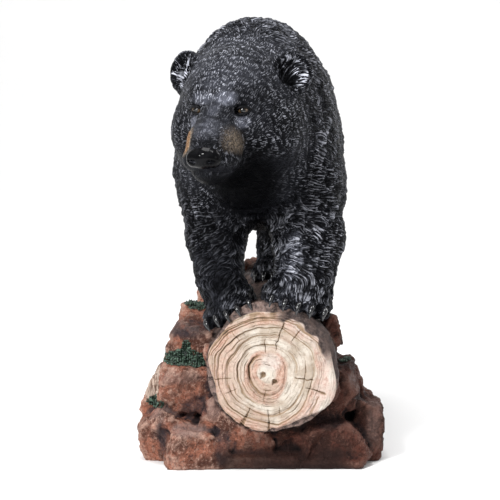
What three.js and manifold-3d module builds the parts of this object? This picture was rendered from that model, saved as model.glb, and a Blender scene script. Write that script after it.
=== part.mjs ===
import * as THREE from 'three';
import { ConvexGeometry } from 'three/addons/geometries/ConvexGeometry.js';
import { mergeVertices } from 'three/addons/utils/BufferGeometryUtils.js';
import Module from 'manifold-3d';

// A cast and painted garden figure: a black bear walking along a fallen log on a heap of red rocks.
// Millimetres, +Z up. The bear faces -Y, and the origin lies on the flat underside, near its middle.

// Driving dimensions
const joint = 0.3; // paint-thick gap between the bear and what it stands on
const clay = { cell: 2.6, low: [-86, -228, 92], high: [80, 172, 348], far: 60 };
const bearFaces = 4560;
const log = {
  front: -166, back: 158, height: 77, radius: 48, taper: 0.009, axisX: 10.9, drift: -0.051,
  sides: 26, bays: 5, roughness: 0.022,
};
const rings = {
  x: 7, z: 71,
  steps: [[44.5, 0.8], [37, 2.2], [31, 3.6], [23, 5.0], [15.5, 6.6], [13.5, 3.4]],
};
const base = { chamfer: 0.42, wobble: 0.2 };
const hump = 339;
const headAt = [-16, -132, 278];
const headTurn = 15;
const lock = { length: 25, width: 13.5, height: 1.9, depth: 9 };

// Small helpers

const radians = (degrees) => degrees * Math.PI / 180;
const clamp = (value, low, high) => Math.min(high, Math.max(low, value));

// A repeatable number from 0 to 1 for a place in a grid or a list.
function chance(a, b = 0, c = 0, d = 0) {
  let h = Math.imul(a | 0, 374761393) ^ Math.imul(b | 0, 668265263);
  h ^= Math.imul(c | 0, 2147483647) ^ Math.imul(d | 0, 1274126177);
  h = Math.imul(h ^ (h >>> 13), 1103515245);
  h = Math.imul(h ^ (h >>> 15), 2246822519);
  return ((h ^ (h >>> 16)) >>> 0) / 4294967296;
}

// Side, forward and up of a thing that looks along -Y, turned towards -X, nosed down, and rolled.
function facing(turn, dip = 0, roll = 0) {
  const [t, d, r] = [turn, dip, roll].map(radians);
  const forward = new THREE.Vector3(-Math.sin(t) * Math.cos(d), -Math.cos(t) * Math.cos(d), -Math.sin(d));
  const level = new THREE.Vector3(Math.cos(t), -Math.sin(t), 0);
  const above = new THREE.Vector3().crossVectors(forward, level);
  if (above.z < 0) above.negate();
  const side = level.clone().multiplyScalar(Math.cos(r)).addScaledVector(above, Math.sin(r));
  const up = above.clone().multiplyScalar(Math.cos(r)).addScaledVector(level, -Math.sin(r));
  return { side, forward, up };
}

const straight = facing(0);

// A point given from an origin along side, forward and up.
function along(origin, axes, s, f, u) {
  return new THREE.Vector3(...origin)
    .addScaledVector(axes.side, s).addScaledVector(axes.forward, f).addScaledVector(axes.up, u).toArray();
}

// Solids

const wasm = await Module();
wasm.setup();

function toSolid(geometry) {
  const bare = geometry.clone();
  bare.deleteAttribute('normal');
  bare.deleteAttribute('uv');
  const merged = mergeVertices(bare, 1e-4);
  return new wasm.Manifold(new wasm.Mesh({
    numProp: 3,
    vertProperties: Float32Array.from(merged.attributes.position.array),
    triVerts: Uint32Array.from(merged.index.array),
  }));
}

// The faces of a mesh without those of sealed pockets, whose shells enclose less than nothing.
function withoutPockets(positions, faces) {
  const leader = Int32Array.from({ length: positions.length / 3 }, (_, n) => n);
  const find = (n) => {
    while (leader[n] !== n) {
      leader[n] = leader[leader[n]];
      n = leader[n];
    }
    return n;
  };
  for (let f = 0; f < faces.length; f += 3) {
    leader[find(faces[f + 1])] = find(faces[f]);
    leader[find(faces[f + 2])] = find(faces[f]);
  }
  const volumes = new Map();
  const corner = (n) => new THREE.Vector3().fromArray(positions, 3 * faces[n]);
  for (let f = 0; f < faces.length; f += 3) {
    const shell = find(faces[f]);
    const volume = corner(f).dot(corner(f + 1).cross(corner(f + 2)));
    volumes.set(shell, (volumes.get(shell) ?? 0) + volume);
  }
  return faces.filter((_, n) => volumes.get(find(faces[n - n % 3])) > 0);
}

function toGeometry(solid) {
  const { vertProperties, triVerts } = solid.getMesh();
  const geometry = new THREE.BufferGeometry();
  geometry.setAttribute('position', new THREE.BufferAttribute(Float32Array.from(vertProperties), 3));
  geometry.setIndex(new THREE.BufferAttribute(withoutPockets(vertProperties, Uint32Array.from(triVerts)), 1));
  geometry.computeVertexNormals();
  return geometry;
}

// The sculpted shape is a block of samples that hold the distance to its surface, negative inside.
class Clay {
  constructor({ low, high, cell, far }) {
    this.low = low;
    this.cell = cell;
    this.size = low.map((v, i) => Math.ceil((high[i] - v) / cell) + 1);
    this.values = new Float32Array(this.size[0] * this.size[1] * this.size[2]).fill(far);
  }

  at(i, j, k) {
    return (k * this.size[1] + j) * this.size[0] + i;
  }

  // Calls visit(sample, x, y, z) for the samples of a box.
  visitBox(low, high, visit) {
    const first = low.map((v, a) => clamp(Math.floor((v - this.low[a]) / this.cell), 0, this.size[a] - 1));
    const last = high.map((v, a) => clamp(Math.ceil((v - this.low[a]) / this.cell), 0, this.size[a] - 1));
    for (let k = first[2]; k <= last[2]; k++) {
      for (let j = first[1]; j <= last[1]; j++) {
        for (let i = first[0]; i <= last[0]; i++) {
          visit(
            this.at(i, j, k), this.low[0] + i * this.cell, this.low[1] + j * this.cell,
            this.low[2] + k * this.cell,
          );
        }
      }
    }
  }

  // Joins a form on with a soft fillet.
  add(form, softness) {
    this.visitBox(...form.reach(softness), (n, x, y, z) => {
      const old = this.values[n];
      const d = form.distance(x, y, z);
      const h = Math.max(softness - Math.abs(old - d), 0) / softness;
      this.values[n] = Math.min(old, d) - h * h * softness / 4;
    });
  }

  // Cuts a form away with a soft edge.
  cut(form, softness) {
    this.visitBox(...form.reach(softness), (n, x, y, z) => {
      const old = this.values[n];
      const d = -form.distance(x, y, z);
      const h = Math.max(softness - Math.abs(old - d), 0) / softness;
      this.values[n] = Math.max(old, d) + h * h * softness / 4;
    });
  }
}

// An egg shape: half sizes to the side, forward and up.
function ball(centre, [a, b, c], axes = straight) {
  const { side: s, forward: f, up: u } = axes;
  const far = Math.max(a, b, c) + 6;
  return {
    reach: (softness) => [-1, 1].map((m) => centre.map((v) => v + m * (far + softness))),
    distance: (px, py, pz) => {
      const x = px - centre[0];
      const y = py - centre[1];
      const z = pz - centre[2];
      const p = (x * s.x + y * s.y + z * s.z) / a;
      const q = (x * f.x + y * f.y + z * f.z) / b;
      const r = (x * u.x + y * u.y + z * u.z) / c;
      const k0 = Math.hypot(p, q, r);
      const k1 = Math.hypot(p / a, q / b, r / c) + 1e-6;
      return k0 * (k0 - 1) / k1;
    },
  };
}

// A tapered limb with round ends.
function limb(from, to, r0, r1) {
  const d = to.map((v, i) => v - from[i]);
  const squared = d[0] ** 2 + d[1] ** 2 + d[2] ** 2;
  const far = Math.max(r0, r1) + 6;
  return {
    reach: (softness) => [-1, 1].map((m) => from.map((v, i) => (
      (m < 0 ? Math.min(v, to[i]) : Math.max(v, to[i])) + m * (far + softness)
    ))),
    distance: (px, py, pz) => {
      const x = px - from[0];
      const y = py - from[1];
      const z = pz - from[2];
      const t = clamp((x * d[0] + y * d[1] + z * d[2]) / squared, 0, 1);
      return Math.hypot(x - t * d[0], y - t * d[1], z - t * d[2]) - (r0 + (r1 - r0) * t);
    },
  };
}

// The log

const logX = (y) => log.axisX + log.drift * (y - log.front);
const logRadius = (y) => log.radius - log.taper * (y - log.front);

// Knobs and hollows of the bark round the log.
function barkRadius(angle, y, grow) {
  const wave = Math.cos(3 * angle + 0.8) + 0.7 * Math.cos(5 * angle + y / 45)
    + 0.5 * Math.cos(8 * angle - y / 20);
  return logRadius(y) * (1 + log.roughness * wave) + grow;
}

// The log's mesh: loops of points from the middle of the sawn end, along the bark, to the back.
function logGeometry(grow) {
  const loops = [];
  const ringLoop = (radius, y) => {
    for (let n = 0; n < log.sides; n++) {
      const angle = 2 * Math.PI * n / log.sides;
      const out = radius * (1 + 0.035 * Math.cos(3 * angle + radius) + 0.02 * Math.cos(7 * angle + radius));
      loops.push([rings.x + out * Math.cos(angle), y, rings.z + out * Math.sin(angle)]);
    }
  };
  const barkLoop = (y, inset) => {
    for (let n = 0; n < log.sides; n++) {
      const angle = 2 * Math.PI * n / log.sides;
      const radius = barkRadius(angle, y, grow) - inset;
      loops.push([logX(y) + radius * Math.cos(angle), y, log.height + radius * Math.sin(angle)]);
    }
  };
  loops.push([rings.x, log.front + rings.steps.at(-1)[1] - grow, rings.z]);
  for (let n = rings.steps.length - 1; n > 0; n--) {
    const [radius, inner] = rings.steps[n];
    const outer = rings.steps[n - 1][1];
    ringLoop(radius - 0.5, log.front + inner - grow);
    if (n > 1) ringLoop(radius + 0.5, log.front + outer - grow);
  }
  barkLoop(log.front + rings.steps[0][1] - grow, 4);
  barkLoop(log.front - grow, 2.2);
  barkLoop(log.front + 1.5 - grow, 0);
  for (let n = 1; n <= log.bays; n++) {
    barkLoop(log.front + (log.back - log.front) * n / log.bays, 0);
  }
  barkLoop(log.back + 3 + grow, 6);
  loops.push([logX(log.back), log.back + 1 + grow, log.height]);

  const index = [];
  const last = loops.length - 1;
  const count = (loops.length - 2) / log.sides;
  for (let n = 0; n < log.sides; n++) {
    const next = (n + 1) % log.sides;
    index.push(0, 1 + n, 1 + next);
    for (let loop = 0; loop < count - 1; loop++) {
      const a = 1 + loop * log.sides;
      const b = a + log.sides;
      index.push(a + n, b + n, b + next, a + n, b + next, a + next);
    }
    const tail = 1 + (count - 1) * log.sides;
    index.push(tail + n, last, tail + next);
  }
  const geometry = new THREE.BufferGeometry();
  geometry.setAttribute('position', new THREE.Float32BufferAttribute(loops.flat(), 3));
  geometry.setIndex(index);
  return geometry;
}

// Splits in the sawn end: angle, inner and outer distance from the rings' middle, width.
const splits = [
  [73, 20, 42, 2.0], [55, 32, 42, 1.6], [-116, 28, 50, 4.2], [-86, 26, 47, 2.4], [-70, 26, 34, 1.6],
  [-17, 31, 45, 2.0], [184, 27, 41, 1.6], [203, 25, 34, 1.4], [-5, 21, 34, 1.4],
];

function splitSolid([angle, inner, outer, width]) {
  const shape = new THREE.Shape();
  shape.moveTo(inner, 0);
  shape.lineTo(outer, -width / 2);
  shape.lineTo(outer, width / 2);
  shape.closePath();
  const geometry = new THREE.ExtrudeGeometry(shape, { depth: 12, bevelEnabled: false });
  geometry.rotateZ(radians(angle));
  geometry.rotateX(Math.PI / 2);
  geometry.translate(rings.x, log.front + 7, rings.z);
  return toSolid(geometry);
}

// Two small knots in the middle of the sawn end.
function knotSolid(x, z, radius) {
  const geometry = new THREE.CylinderGeometry(radius, radius * 0.7, 14, 6);
  geometry.translate(x, log.front + 1, z);
  return toSolid(geometry);
}

// The rocks

// A quarried-looking block with its corners knocked off: centre, half sizes, turns in degrees.
function boulder([x, y, z], half, seed, [turn, dip, roll] = [0, 0, 0], grow = 0, cuts = 3) {
  const points = [];
  const spin = new THREE.Euler(radians(dip), radians(roll), radians(turn));
  for (let corner = 0; corner < 8; corner++) {
    for (let axis = 0; axis < cuts; axis++) {
      const p = [corner & 1, corner & 2, corner & 4].map((bit, a) => {
        const pull = a === axis ? base.chamfer * (0.7 + 0.9 * chance(seed, corner, axis, 7)) : 0;
        const wobble = base.wobble * (chance(seed, corner, a, 3) - 0.15);
        return (bit ? 1 : -1) * (half[a] * (1 - pull - wobble) + grow);
      });
      points.push(new THREE.Vector3(...p).applyEuler(spin).add(new THREE.Vector3(x, y, z)));
    }
  }
  return new ConvexGeometry(points);
}

// The rocks that show from the front: centre, half sizes, turns.
const frontRocks = [
  [[-48, -149, 9], [24, 24, 19], [8, -6, 4]], // pink block at the front left corner
  [[-72, -120, 18], [19, 28, 21], [-14, 4, -20]], // round boulder at the far left
  [[-55, -118, 57], [26, 30, 18], [6, 4, 6]], // big block beside the log
  [[-51, -96, 82], [21, 32, 19], [-8, 0, 20]], // dark-topped rock above it
  [[-53, -72, 94], [16, 22, 15], [12, 6, 10]], // highest rock at the left
  [[-48, -116, 33], [18, 22, 20], [20, 0, 14]], // rock in the dark hollow
  [[-60, -139, 25], [24, 18, 9], [6, 0, 22]], // saddle that slopes from the round boulder
  [[-24, -137, 26], [19, 26, 20], [-10, 8, 12]], // rock under the log's left side
  [[-33, -151, 40], [5, 9, 12], [0, 0, -24]], // slab leaning on the log
  [[-2, -151, 17], [14, 12, 12], [4, 6, 3]], // flat piece under the log
  [[19, -120, 1], [58, 48, 16], [3, 9, 0]], // foot of the heap, which slopes up under the log
  [[22, -132, 24], [24, 22, 15], [6, 0, -26]], // rock wedged under the log
  [[55, -131, 12], [24, 30, 21], [8, 0, -32]], // leaning rock at the lower right
  [[47, -128, 38], [37, 19, 11], [4, 4, -46]], // long slab that climbs to the right
  [[60, -112, 56], [15, 28, 19], [-6, 4, -12]], // block behind the slab
  [[79, -108, 18], [13, 25, 30], [6, 0, 3]], // upright block at the far right
  [[-82, -106, 50], [7, 15, 20], [-6, 6, 22]], // splinter of pale wood at the left edge
  [[55, -139, 101], [6, 10, 13], [14, -4, -14]], // flake of bark at the log's shoulder
  [[54, -158, 61], [6, 7, 10], [0, 0, 8]], // loose chip on the log's right rim
  [[-36, -150, 84], [5, 8, 9], [0, 0, -10]], // chip on the log's left rim
];

// The rocks along both sides: side, middle height, distance out, half sizes, how many.
const sideRows = [
  [-1, 17, 62, [22, 36, 22], 4, -50], [-1, 46, 48, [20, 36, 22], 4, -44], [-1, 75, 38, [16, 34, 17], 4, -30],
  [1, 13, 69, [20, 36, 17], 4, -52], [1, 38, 47, [18, 36, 18], 4, -40], [1, 58, 37, [14, 34, 14], 4, -50],
];

// The rocks that carry the hind paws and close the back.
const backRocks = [
  [[-47, 88, 98], [17, 38, 18], [-4, 0, -4]], // step under the right hind paw
  [[-14, 130, 106], [20, 25, 19], [10, 4, 6]], // hump behind the hind paws
  [[2, 30, 16], [58, 128, 36], [0, 0, 0]], // heart of the heap
  [[-30, 148, 40], [34, 22, 42], [-12, 0, 4]],
  [[22, 150, 32], [27, 20, 36], [14, 0, -5]],
  [[0, 158, 66], [26, 14, 30], [4, 0, 0]],
];

function rockSolids(grow) {
  const solids = [];
  [...frontRocks, ...backRocks].forEach(([at, half, turns], n) => {
    solids.push(toSolid(boulder(at, half, n + 1, turns, grow)));
  });
  sideRows.forEach(([side, height, out, half, count, first], row) => {
    const pitch = (142 - first) / (count - 1);
    for (let n = 0; n < count; n++) {
      const [a, b, c, d] = [1, 2, 3, 4].map((k) => chance(row, n, k) - 0.5);
      const narrow = 1 - 0.14 * (n / (count - 1)) ** 2;
      const y = first + pitch * n + 10 * b;
      const at = [side * (out * narrow + 12 * a) + logX(first + pitch * n) - 8, y, height + 9 * c];
      const sizes = half.map((v, axis) => v * (1 + 0.3 * (chance(row, n, 5 + axis) - 0.5)));
      solids.push(toSolid(boulder(at, sizes, 100 + 10 * row + n, [40 * d, 18 * a, 28 * b], grow, 2)));
    }
  });
  return solids;
}

function joined(solids) {
  return solids.reduce((whole, solid) => whole.add(solid));
}

// Log and rocks in one casting, cut flat below. Grown a little, it is what the bear's feet are cut by.
function heap(grow = 0) {
  const floorBlock = new THREE.BoxGeometry(400, 500, 100);
  floorBlock.translate(0, 0, -50);
  let logSolid = toSolid(logGeometry(grow));
  if (grow === 0) {
    for (const split of splits) {
      logSolid = logSolid.subtract(splitSolid(split));
    }
    logSolid = logSolid.subtract(knotSolid(3.5, 71, 2.2)).subtract(knotSolid(13, 66, 1.9));
  }
  return joined([logSolid, ...rockSolids(grow)]).subtract(toSolid(floorBlock));
}

// The bear

function sculptTrunk(body) {
  body.add(ball([-6, -80, hump - 54], [48, 66, 53.5]), 20); // hump over the shoulders
  body.add(ball([-5, -95, 238], [50, 56, 58]), 30);
  body.add(ball([-4, -14, 250], [53, 96, 68]), 34);
  body.add(ball([-2, 70, 264], [52, 76, 61]), 34); // rump
  body.add(ball([-4, 30, 222], [55, 84, 48]), 26);
  body.add(ball([-3, -20, 206], [44, 80, 34]), 26); // belly
  body.add(limb([-4, 138, 274], [-4, 150, 250], 10, 7.5), 12); // tail
  body.add(limb([-8, -100, 276], [-16, -136, 276], 50, 39), 24); // neck
  body.add(ball([-10, -116, 240], [42, 38, 44]), 22); // throat
}

// Each leg is a chain of limbs: points with their radius, and how softly each is joined on.
const legs = [
  { shoulder: [-42, -88, 226], muscle: [24, 36, 46], chain: [
    [-36, -98, 214, 29], [-35.5, -114, 172, 21.5], [-31.5, -129, 138, 18]] },
  { shoulder: [32, -88, 228], muscle: [23, 36, 46], chain: [
    [30, -98, 214, 29], [36, -114, 172, 26], [33, -132, 138, 23]] },
  { shoulder: [28, 72, 214], muscle: [27, 50, 54], chain: [
    [27, 66, 190, 33], [12, 44, 170, 23.5], [5.5, 54, 148, 18.5], [5, 42, 134, 18]] },
  { shoulder: [-35, 88, 214], muscle: [26, 50, 54], chain: [
    [-38, 98, 190, 31], [-47, 84, 168, 21], [-48, 108, 146, 18], [-48, 98, 132, 17]] },
];

function sculptLegs(body) {
  for (const { shoulder, muscle, chain } of legs) {
    body.add(ball(shoulder, muscle), 21);
    for (let n = 1; n < chain.length; n++) {
      const [from, to] = [chain[n - 1], chain[n]];
      body.add(limb(from.slice(0, 3), to.slice(0, 3), from[3], to[3]), n === 1 ? 16 : 10);
    }
  }
}

// A paw with five toes and their claws, its sole on the point it is given.
function sculptPaw(body, at, axes, { width = 23, length = 24, height = 13, claw = 9 }) {
  body.add(ball(along(at, axes, 0, -2, height * 0.45), [width, length, height], axes), 10);
  for (let toe = -2; toe <= 2; toe++) {
    const spread = toe / 2;
    const s = spread * width * 0.76;
    const reach = length * 0.74 - spread ** 2 * 5.5;
    const tip = [s, reach + 2, height * 0.26];
    body.add(limb(along(at, axes, s * 0.9, reach - 9, height * 0.6), along(at, axes, ...tip), 5.9, 5), 1.8);
    const nail = [[3, 2], [claw * 0.55 + 3, 1], [claw + 1.5, -3.2]].map(([f, u]) => (
      along(at, axes, tip[0], tip[1] + f, tip[2] + u)));
    body.add(limb(nail[0], nail[1], 2.5, 2.1), 0.8);
    body.add(limb(nail[1], nail[2], 2.1, 1.3), 0.6);
  }
}

// A front paw follows the log's round back; roll tips it over the side.
function sculptFrontPaw(body, x, y, roll, turn, width) {
  const lean = radians(roll);
  const swing = radians(turn);
  const up = new THREE.Vector3(Math.sin(lean), 0, Math.cos(lean));
  const level = new THREE.Vector3(Math.cos(lean), 0, -Math.sin(lean));
  const ahead = new THREE.Vector3(0, -1, 0);
  const forward = ahead.clone().multiplyScalar(Math.cos(swing)).addScaledVector(level, -Math.sin(swing));
  const side = level.clone().multiplyScalar(Math.cos(swing)).addScaledVector(ahead, Math.sin(swing));
  const rise = Math.sqrt(logRadius(y) ** 2 - (x - logX(y)) ** 2);
  sculptPaw(body, [x, y, log.height + rise - 1], { side, forward, up }, { width });
}

function sculptPaws(body) {
  sculptFrontPaw(body, -18.5, -138, -28, 6, 24);
  sculptFrontPaw(body, 27.5, -143, 15, -4, 27);
  const hind = { width: 20, length: 27, height: 13, claw: 7 };
  sculptPaw(body, [4, 24, 123], facing(4), hind);
  sculptPaw(body, [-48, 82, 116], facing(2), hind);
}

function sculptHead(body) {
  const axes = facing(headTurn);
  const p = (s, f, u) => along(headAt, axes, s, f, u);
  const egg = (s, f, u, size, softness) => body.add(ball(p(s, f, u), size, axes), softness);
  const both = [-1, 1];
  egg(0, 0, -3, [40, 44, 34], 14); // skull
  egg(0, 24, 0, [28, 24, 20], 12); // forehead
  for (const m of both) {
    egg(28 * m, 4, -25, [23.5, 30, 28], 9); // cheek and its ruff
    egg(14 * m, 33, 3, [12, 13, 8.5], 8); // brow
  }
  body.add(limb(p(0, 36, -24), p(0, 65, -37), 22.5, 15), 12); // muzzle
  body.add(limb(p(0, 34, -9), p(0, 72, -31.5), 12, 9.5), 9); // bridge of the nose
  body.add(limb(p(0, 26, -47), p(0, 63, -51.5), 17, 9), 8); // jaw
  egg(0, 61, -51, [14, 15, 9.5], 5); // chin
  for (const m of both) {
    egg(9.5 * m, 60, -42.5, [12, 19.5, 10], 5); // upper lip
  }
  for (const m of both) {
    body.cut(limb(p(m, 80, -50.5), p(14 * m, 69, -52.5), 1.2, 1.3), 1.5); // line of the mouth
    body.cut(limb(p(14 * m, 69, -52.5), p(22 * m, 50, -47.5), 1.3, 0.8), 1.5);
  }
  egg(0, 79, -40.5, [13, 8.5, 8.2], 1.5); // nose
  egg(0, 74, -35, [11.5, 9, 6.2], 2.5);
  for (const m of both) {
    egg(9 * m, 79.5, -41.5, [4.6, 6, 5.8], 2); // wing of the nose
    body.cut(ball(p(6.2 * m, 86, -42.5), [2.8, 4, 2.5], axes), 1.2); // nostril
    body.cut(ball(p(17.8 * m, 45.5, -7.4), [7.4, 5.5, 4.6], axes), 4); // eye socket
    body.add(ball(p(17.8 * m, 40.6, -7.4), [5, 5, 5], axes), 0.6); // eye
    const ear = facing(headTurn - 25 * m, -8);
    const root = p(42 * m, 2, 19.3);
    body.add(ball(root, [16.5, 6.8, 17], ear), 5);
    body.cut(ball(along(root, ear, 0, 6.5, 1), [12, 6.5, 12.5], ear), 2);
  }
}

// Which way the hair lies at a place, and how strongly it stands in locks there.
function hairAt(x, y, z) {
  const fromHead = [x - headAt[0], y - headAt[1], z - headAt[2]];
  const ahead = -fromHead[1];
  const away = Math.hypot(...fromHead);
  const bare = clamp((ahead - 2) / 26, 0, 1) * clamp((74 - away) / 20 + 1, 0, 1);
  const leg = clamp((196 - z) / 30, 0, 1);
  const sole = clamp((z - 128) / 16, 0, 1);
  const flow = new THREE.Vector3(0, 0.85 - 0.75 * leg, -0.55 - 0.45 * leg).normalize();
  return { flow, strength: (1 - bare) * sole * (1 - 0.4 * leg) };
}

// Height of the lock that covers a place, from 0 to 1: locks lie like shingles, each thickest near its tip.
function lockHeight(x, y, z, flow) {
  const side = new THREE.Vector3(1, 0, 0);
  const out = new THREE.Vector3().crossVectors(flow, side);
  const a = (x * flow.x + y * flow.y + z * flow.z) / lock.length;
  const b = x / lock.width;
  const c = (x * out.x + y * out.y + z * out.z) / lock.width;
  let nearest = 1e9;
  let height = 0;
  for (let i = Math.floor(a) - 1; i <= Math.floor(a) + 1; i++) {
    for (let j = Math.floor(b) - 1; j <= Math.floor(b) + 1; j++) {
      for (let k = Math.floor(c) - 1; k <= Math.floor(c) + 1; k++) {
        const da = a - i - 0.2 - 0.6 * chance(i, j, k, 1);
        const db = b - j - 0.2 - 0.6 * chance(i, j, k, 2);
        const dc = c - k - 0.2 - 0.6 * chance(i, j, k, 3);
        const across = db * db + dc * dc;
        const distance = da * da + across * (da > 0 ? 1.7 : 1);
        if (distance < nearest) {
          nearest = distance;
          height = clamp(0.5 + 0.8 * da, 0, 1) * clamp(1.15 - 1.5 * across, 0, 1);
        }
      }
    }
  }
  return height;
}

function raiseLocks(body) {
  body.visitBox(clay.low, clay.high, (n, x, y, z) => {
    if (Math.abs(body.values[n]) > lock.depth) return;
    const { flow, strength } = hairAt(x, y, z);
    if (strength > 0.02) {
      body.values[n] -= lock.height * strength * (lockHeight(x, y, z, flow) - 0.35);
    }
  });
}

// Fills or empties the few samples that would leave two walls touching along an edge or at a corner.
function closePinches(body) {
  const [nx, ny, nz] = body.size;
  const v = body.values;
  const steps = [1, nx, nx * ny];
  const thin = 0.05;
  const inside = (n) => v[n] < 0;
  for (let changed = true; changed;) {
    changed = false;
    for (let k = 0; k < nz - 1; k++) {
      for (let j = 0; j < ny - 1; j++) {
        for (let i = 0; i < nx - 1; i++) {
          const n = body.at(i, j, k);
          for (let axis = 0; axis < 3; axis++) {
            const p = n + steps[(axis + 1) % 3];
            const q = n + steps[(axis + 2) % 3];
            const r = p + steps[(axis + 2) % 3];
            if (inside(n) === inside(r) && inside(p) === inside(q) && inside(n) !== inside(p)) {
              const open = inside(n) ? [p, q] : [n, r];
              v[v[open[0]] < v[open[1]] ? open[0] : open[1]] = -thin;
              changed = true;
            }
          }
          const far = n + steps[0] + steps[1] + steps[2];
          const solid = [n, far, ...steps.flatMap((step) => [n + step, far - step])].filter(inside);
          if (solid.length === 2 && solid[0] + solid[1] === n + far) {
            v[solid[0]] = thin;
            changed = true;
          }
        }
      }
    }
  }
}

// Wraps the sampled shape in a net of four-sided faces, one point to each cell that the surface crosses.
function wrapped(body) {
  const [nx, ny, nz] = body.size;
  const v = body.values;
  const ids = new Int32Array(v.length).fill(-1);
  const points = [];
  for (let k = 0; k < nz - 1; k++) {
    for (let j = 0; j < ny - 1; j++) {
      for (let i = 0; i < nx - 1; i++) {
        let sum = [0, 0, 0];
        let crossings = 0;
        for (let axis = 0; axis < 3; axis++) {
          for (let edge = 0; edge < 4; edge++) {
            const o = [0, 0, 0];
            o[(axis + 1) % 3] = edge & 1;
            o[(axis + 2) % 3] = edge >> 1;
            const a = v[body.at(i + o[0], j + o[1], k + o[2])];
            const e = [...o];
            e[axis] = 1;
            const b = v[body.at(i + e[0], j + e[1], k + e[2])];
            if ((a < 0) !== (b < 0)) {
              o[axis] = a / (a - b);
              sum = sum.map((s, m) => s + o[m]);
              crossings++;
            }
          }
        }
        if (crossings > 0) {
          ids[body.at(i, j, k)] = points.length;
          points.push([i, j, k].map((m, a) => body.low[a] + body.cell * (m + sum[a] / crossings)));
        }
      }
    }
  }
  const faces = [];
  const step = [[1, 0, 0], [0, 1, 0], [0, 0, 1]];
  for (let k = 1; k < nz - 1; k++) {
    for (let j = 1; j < ny - 1; j++) {
      for (let i = 1; i < nx - 1; i++) {
        const here = v[body.at(i, j, k)] < 0;
        for (let axis = 0; axis < 3; axis++) {
          const there = v[body.at(i + step[axis][0], j + step[axis][1], k + step[axis][2])] < 0;
          if (here === there) continue;
          const s = step[(axis + 1) % 3];
          const t = step[(axis + 2) % 3];
          const cell = (m, n) => {
            const [x, y, z] = [i, j, k].map((at, a) => at - m * s[a] - n * t[a]);
            return ids[body.at(x, y, z)];
          };
          const [a, b, c, d] = [cell(1, 1), cell(0, 1), cell(0, 0), cell(1, 0)];
          if (here) faces.push([a, b, c], [a, c, d]);
          else faces.push([a, c, b], [a, d, c]);
        }
      }
    }
  }
  return { points, faces };
}

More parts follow.
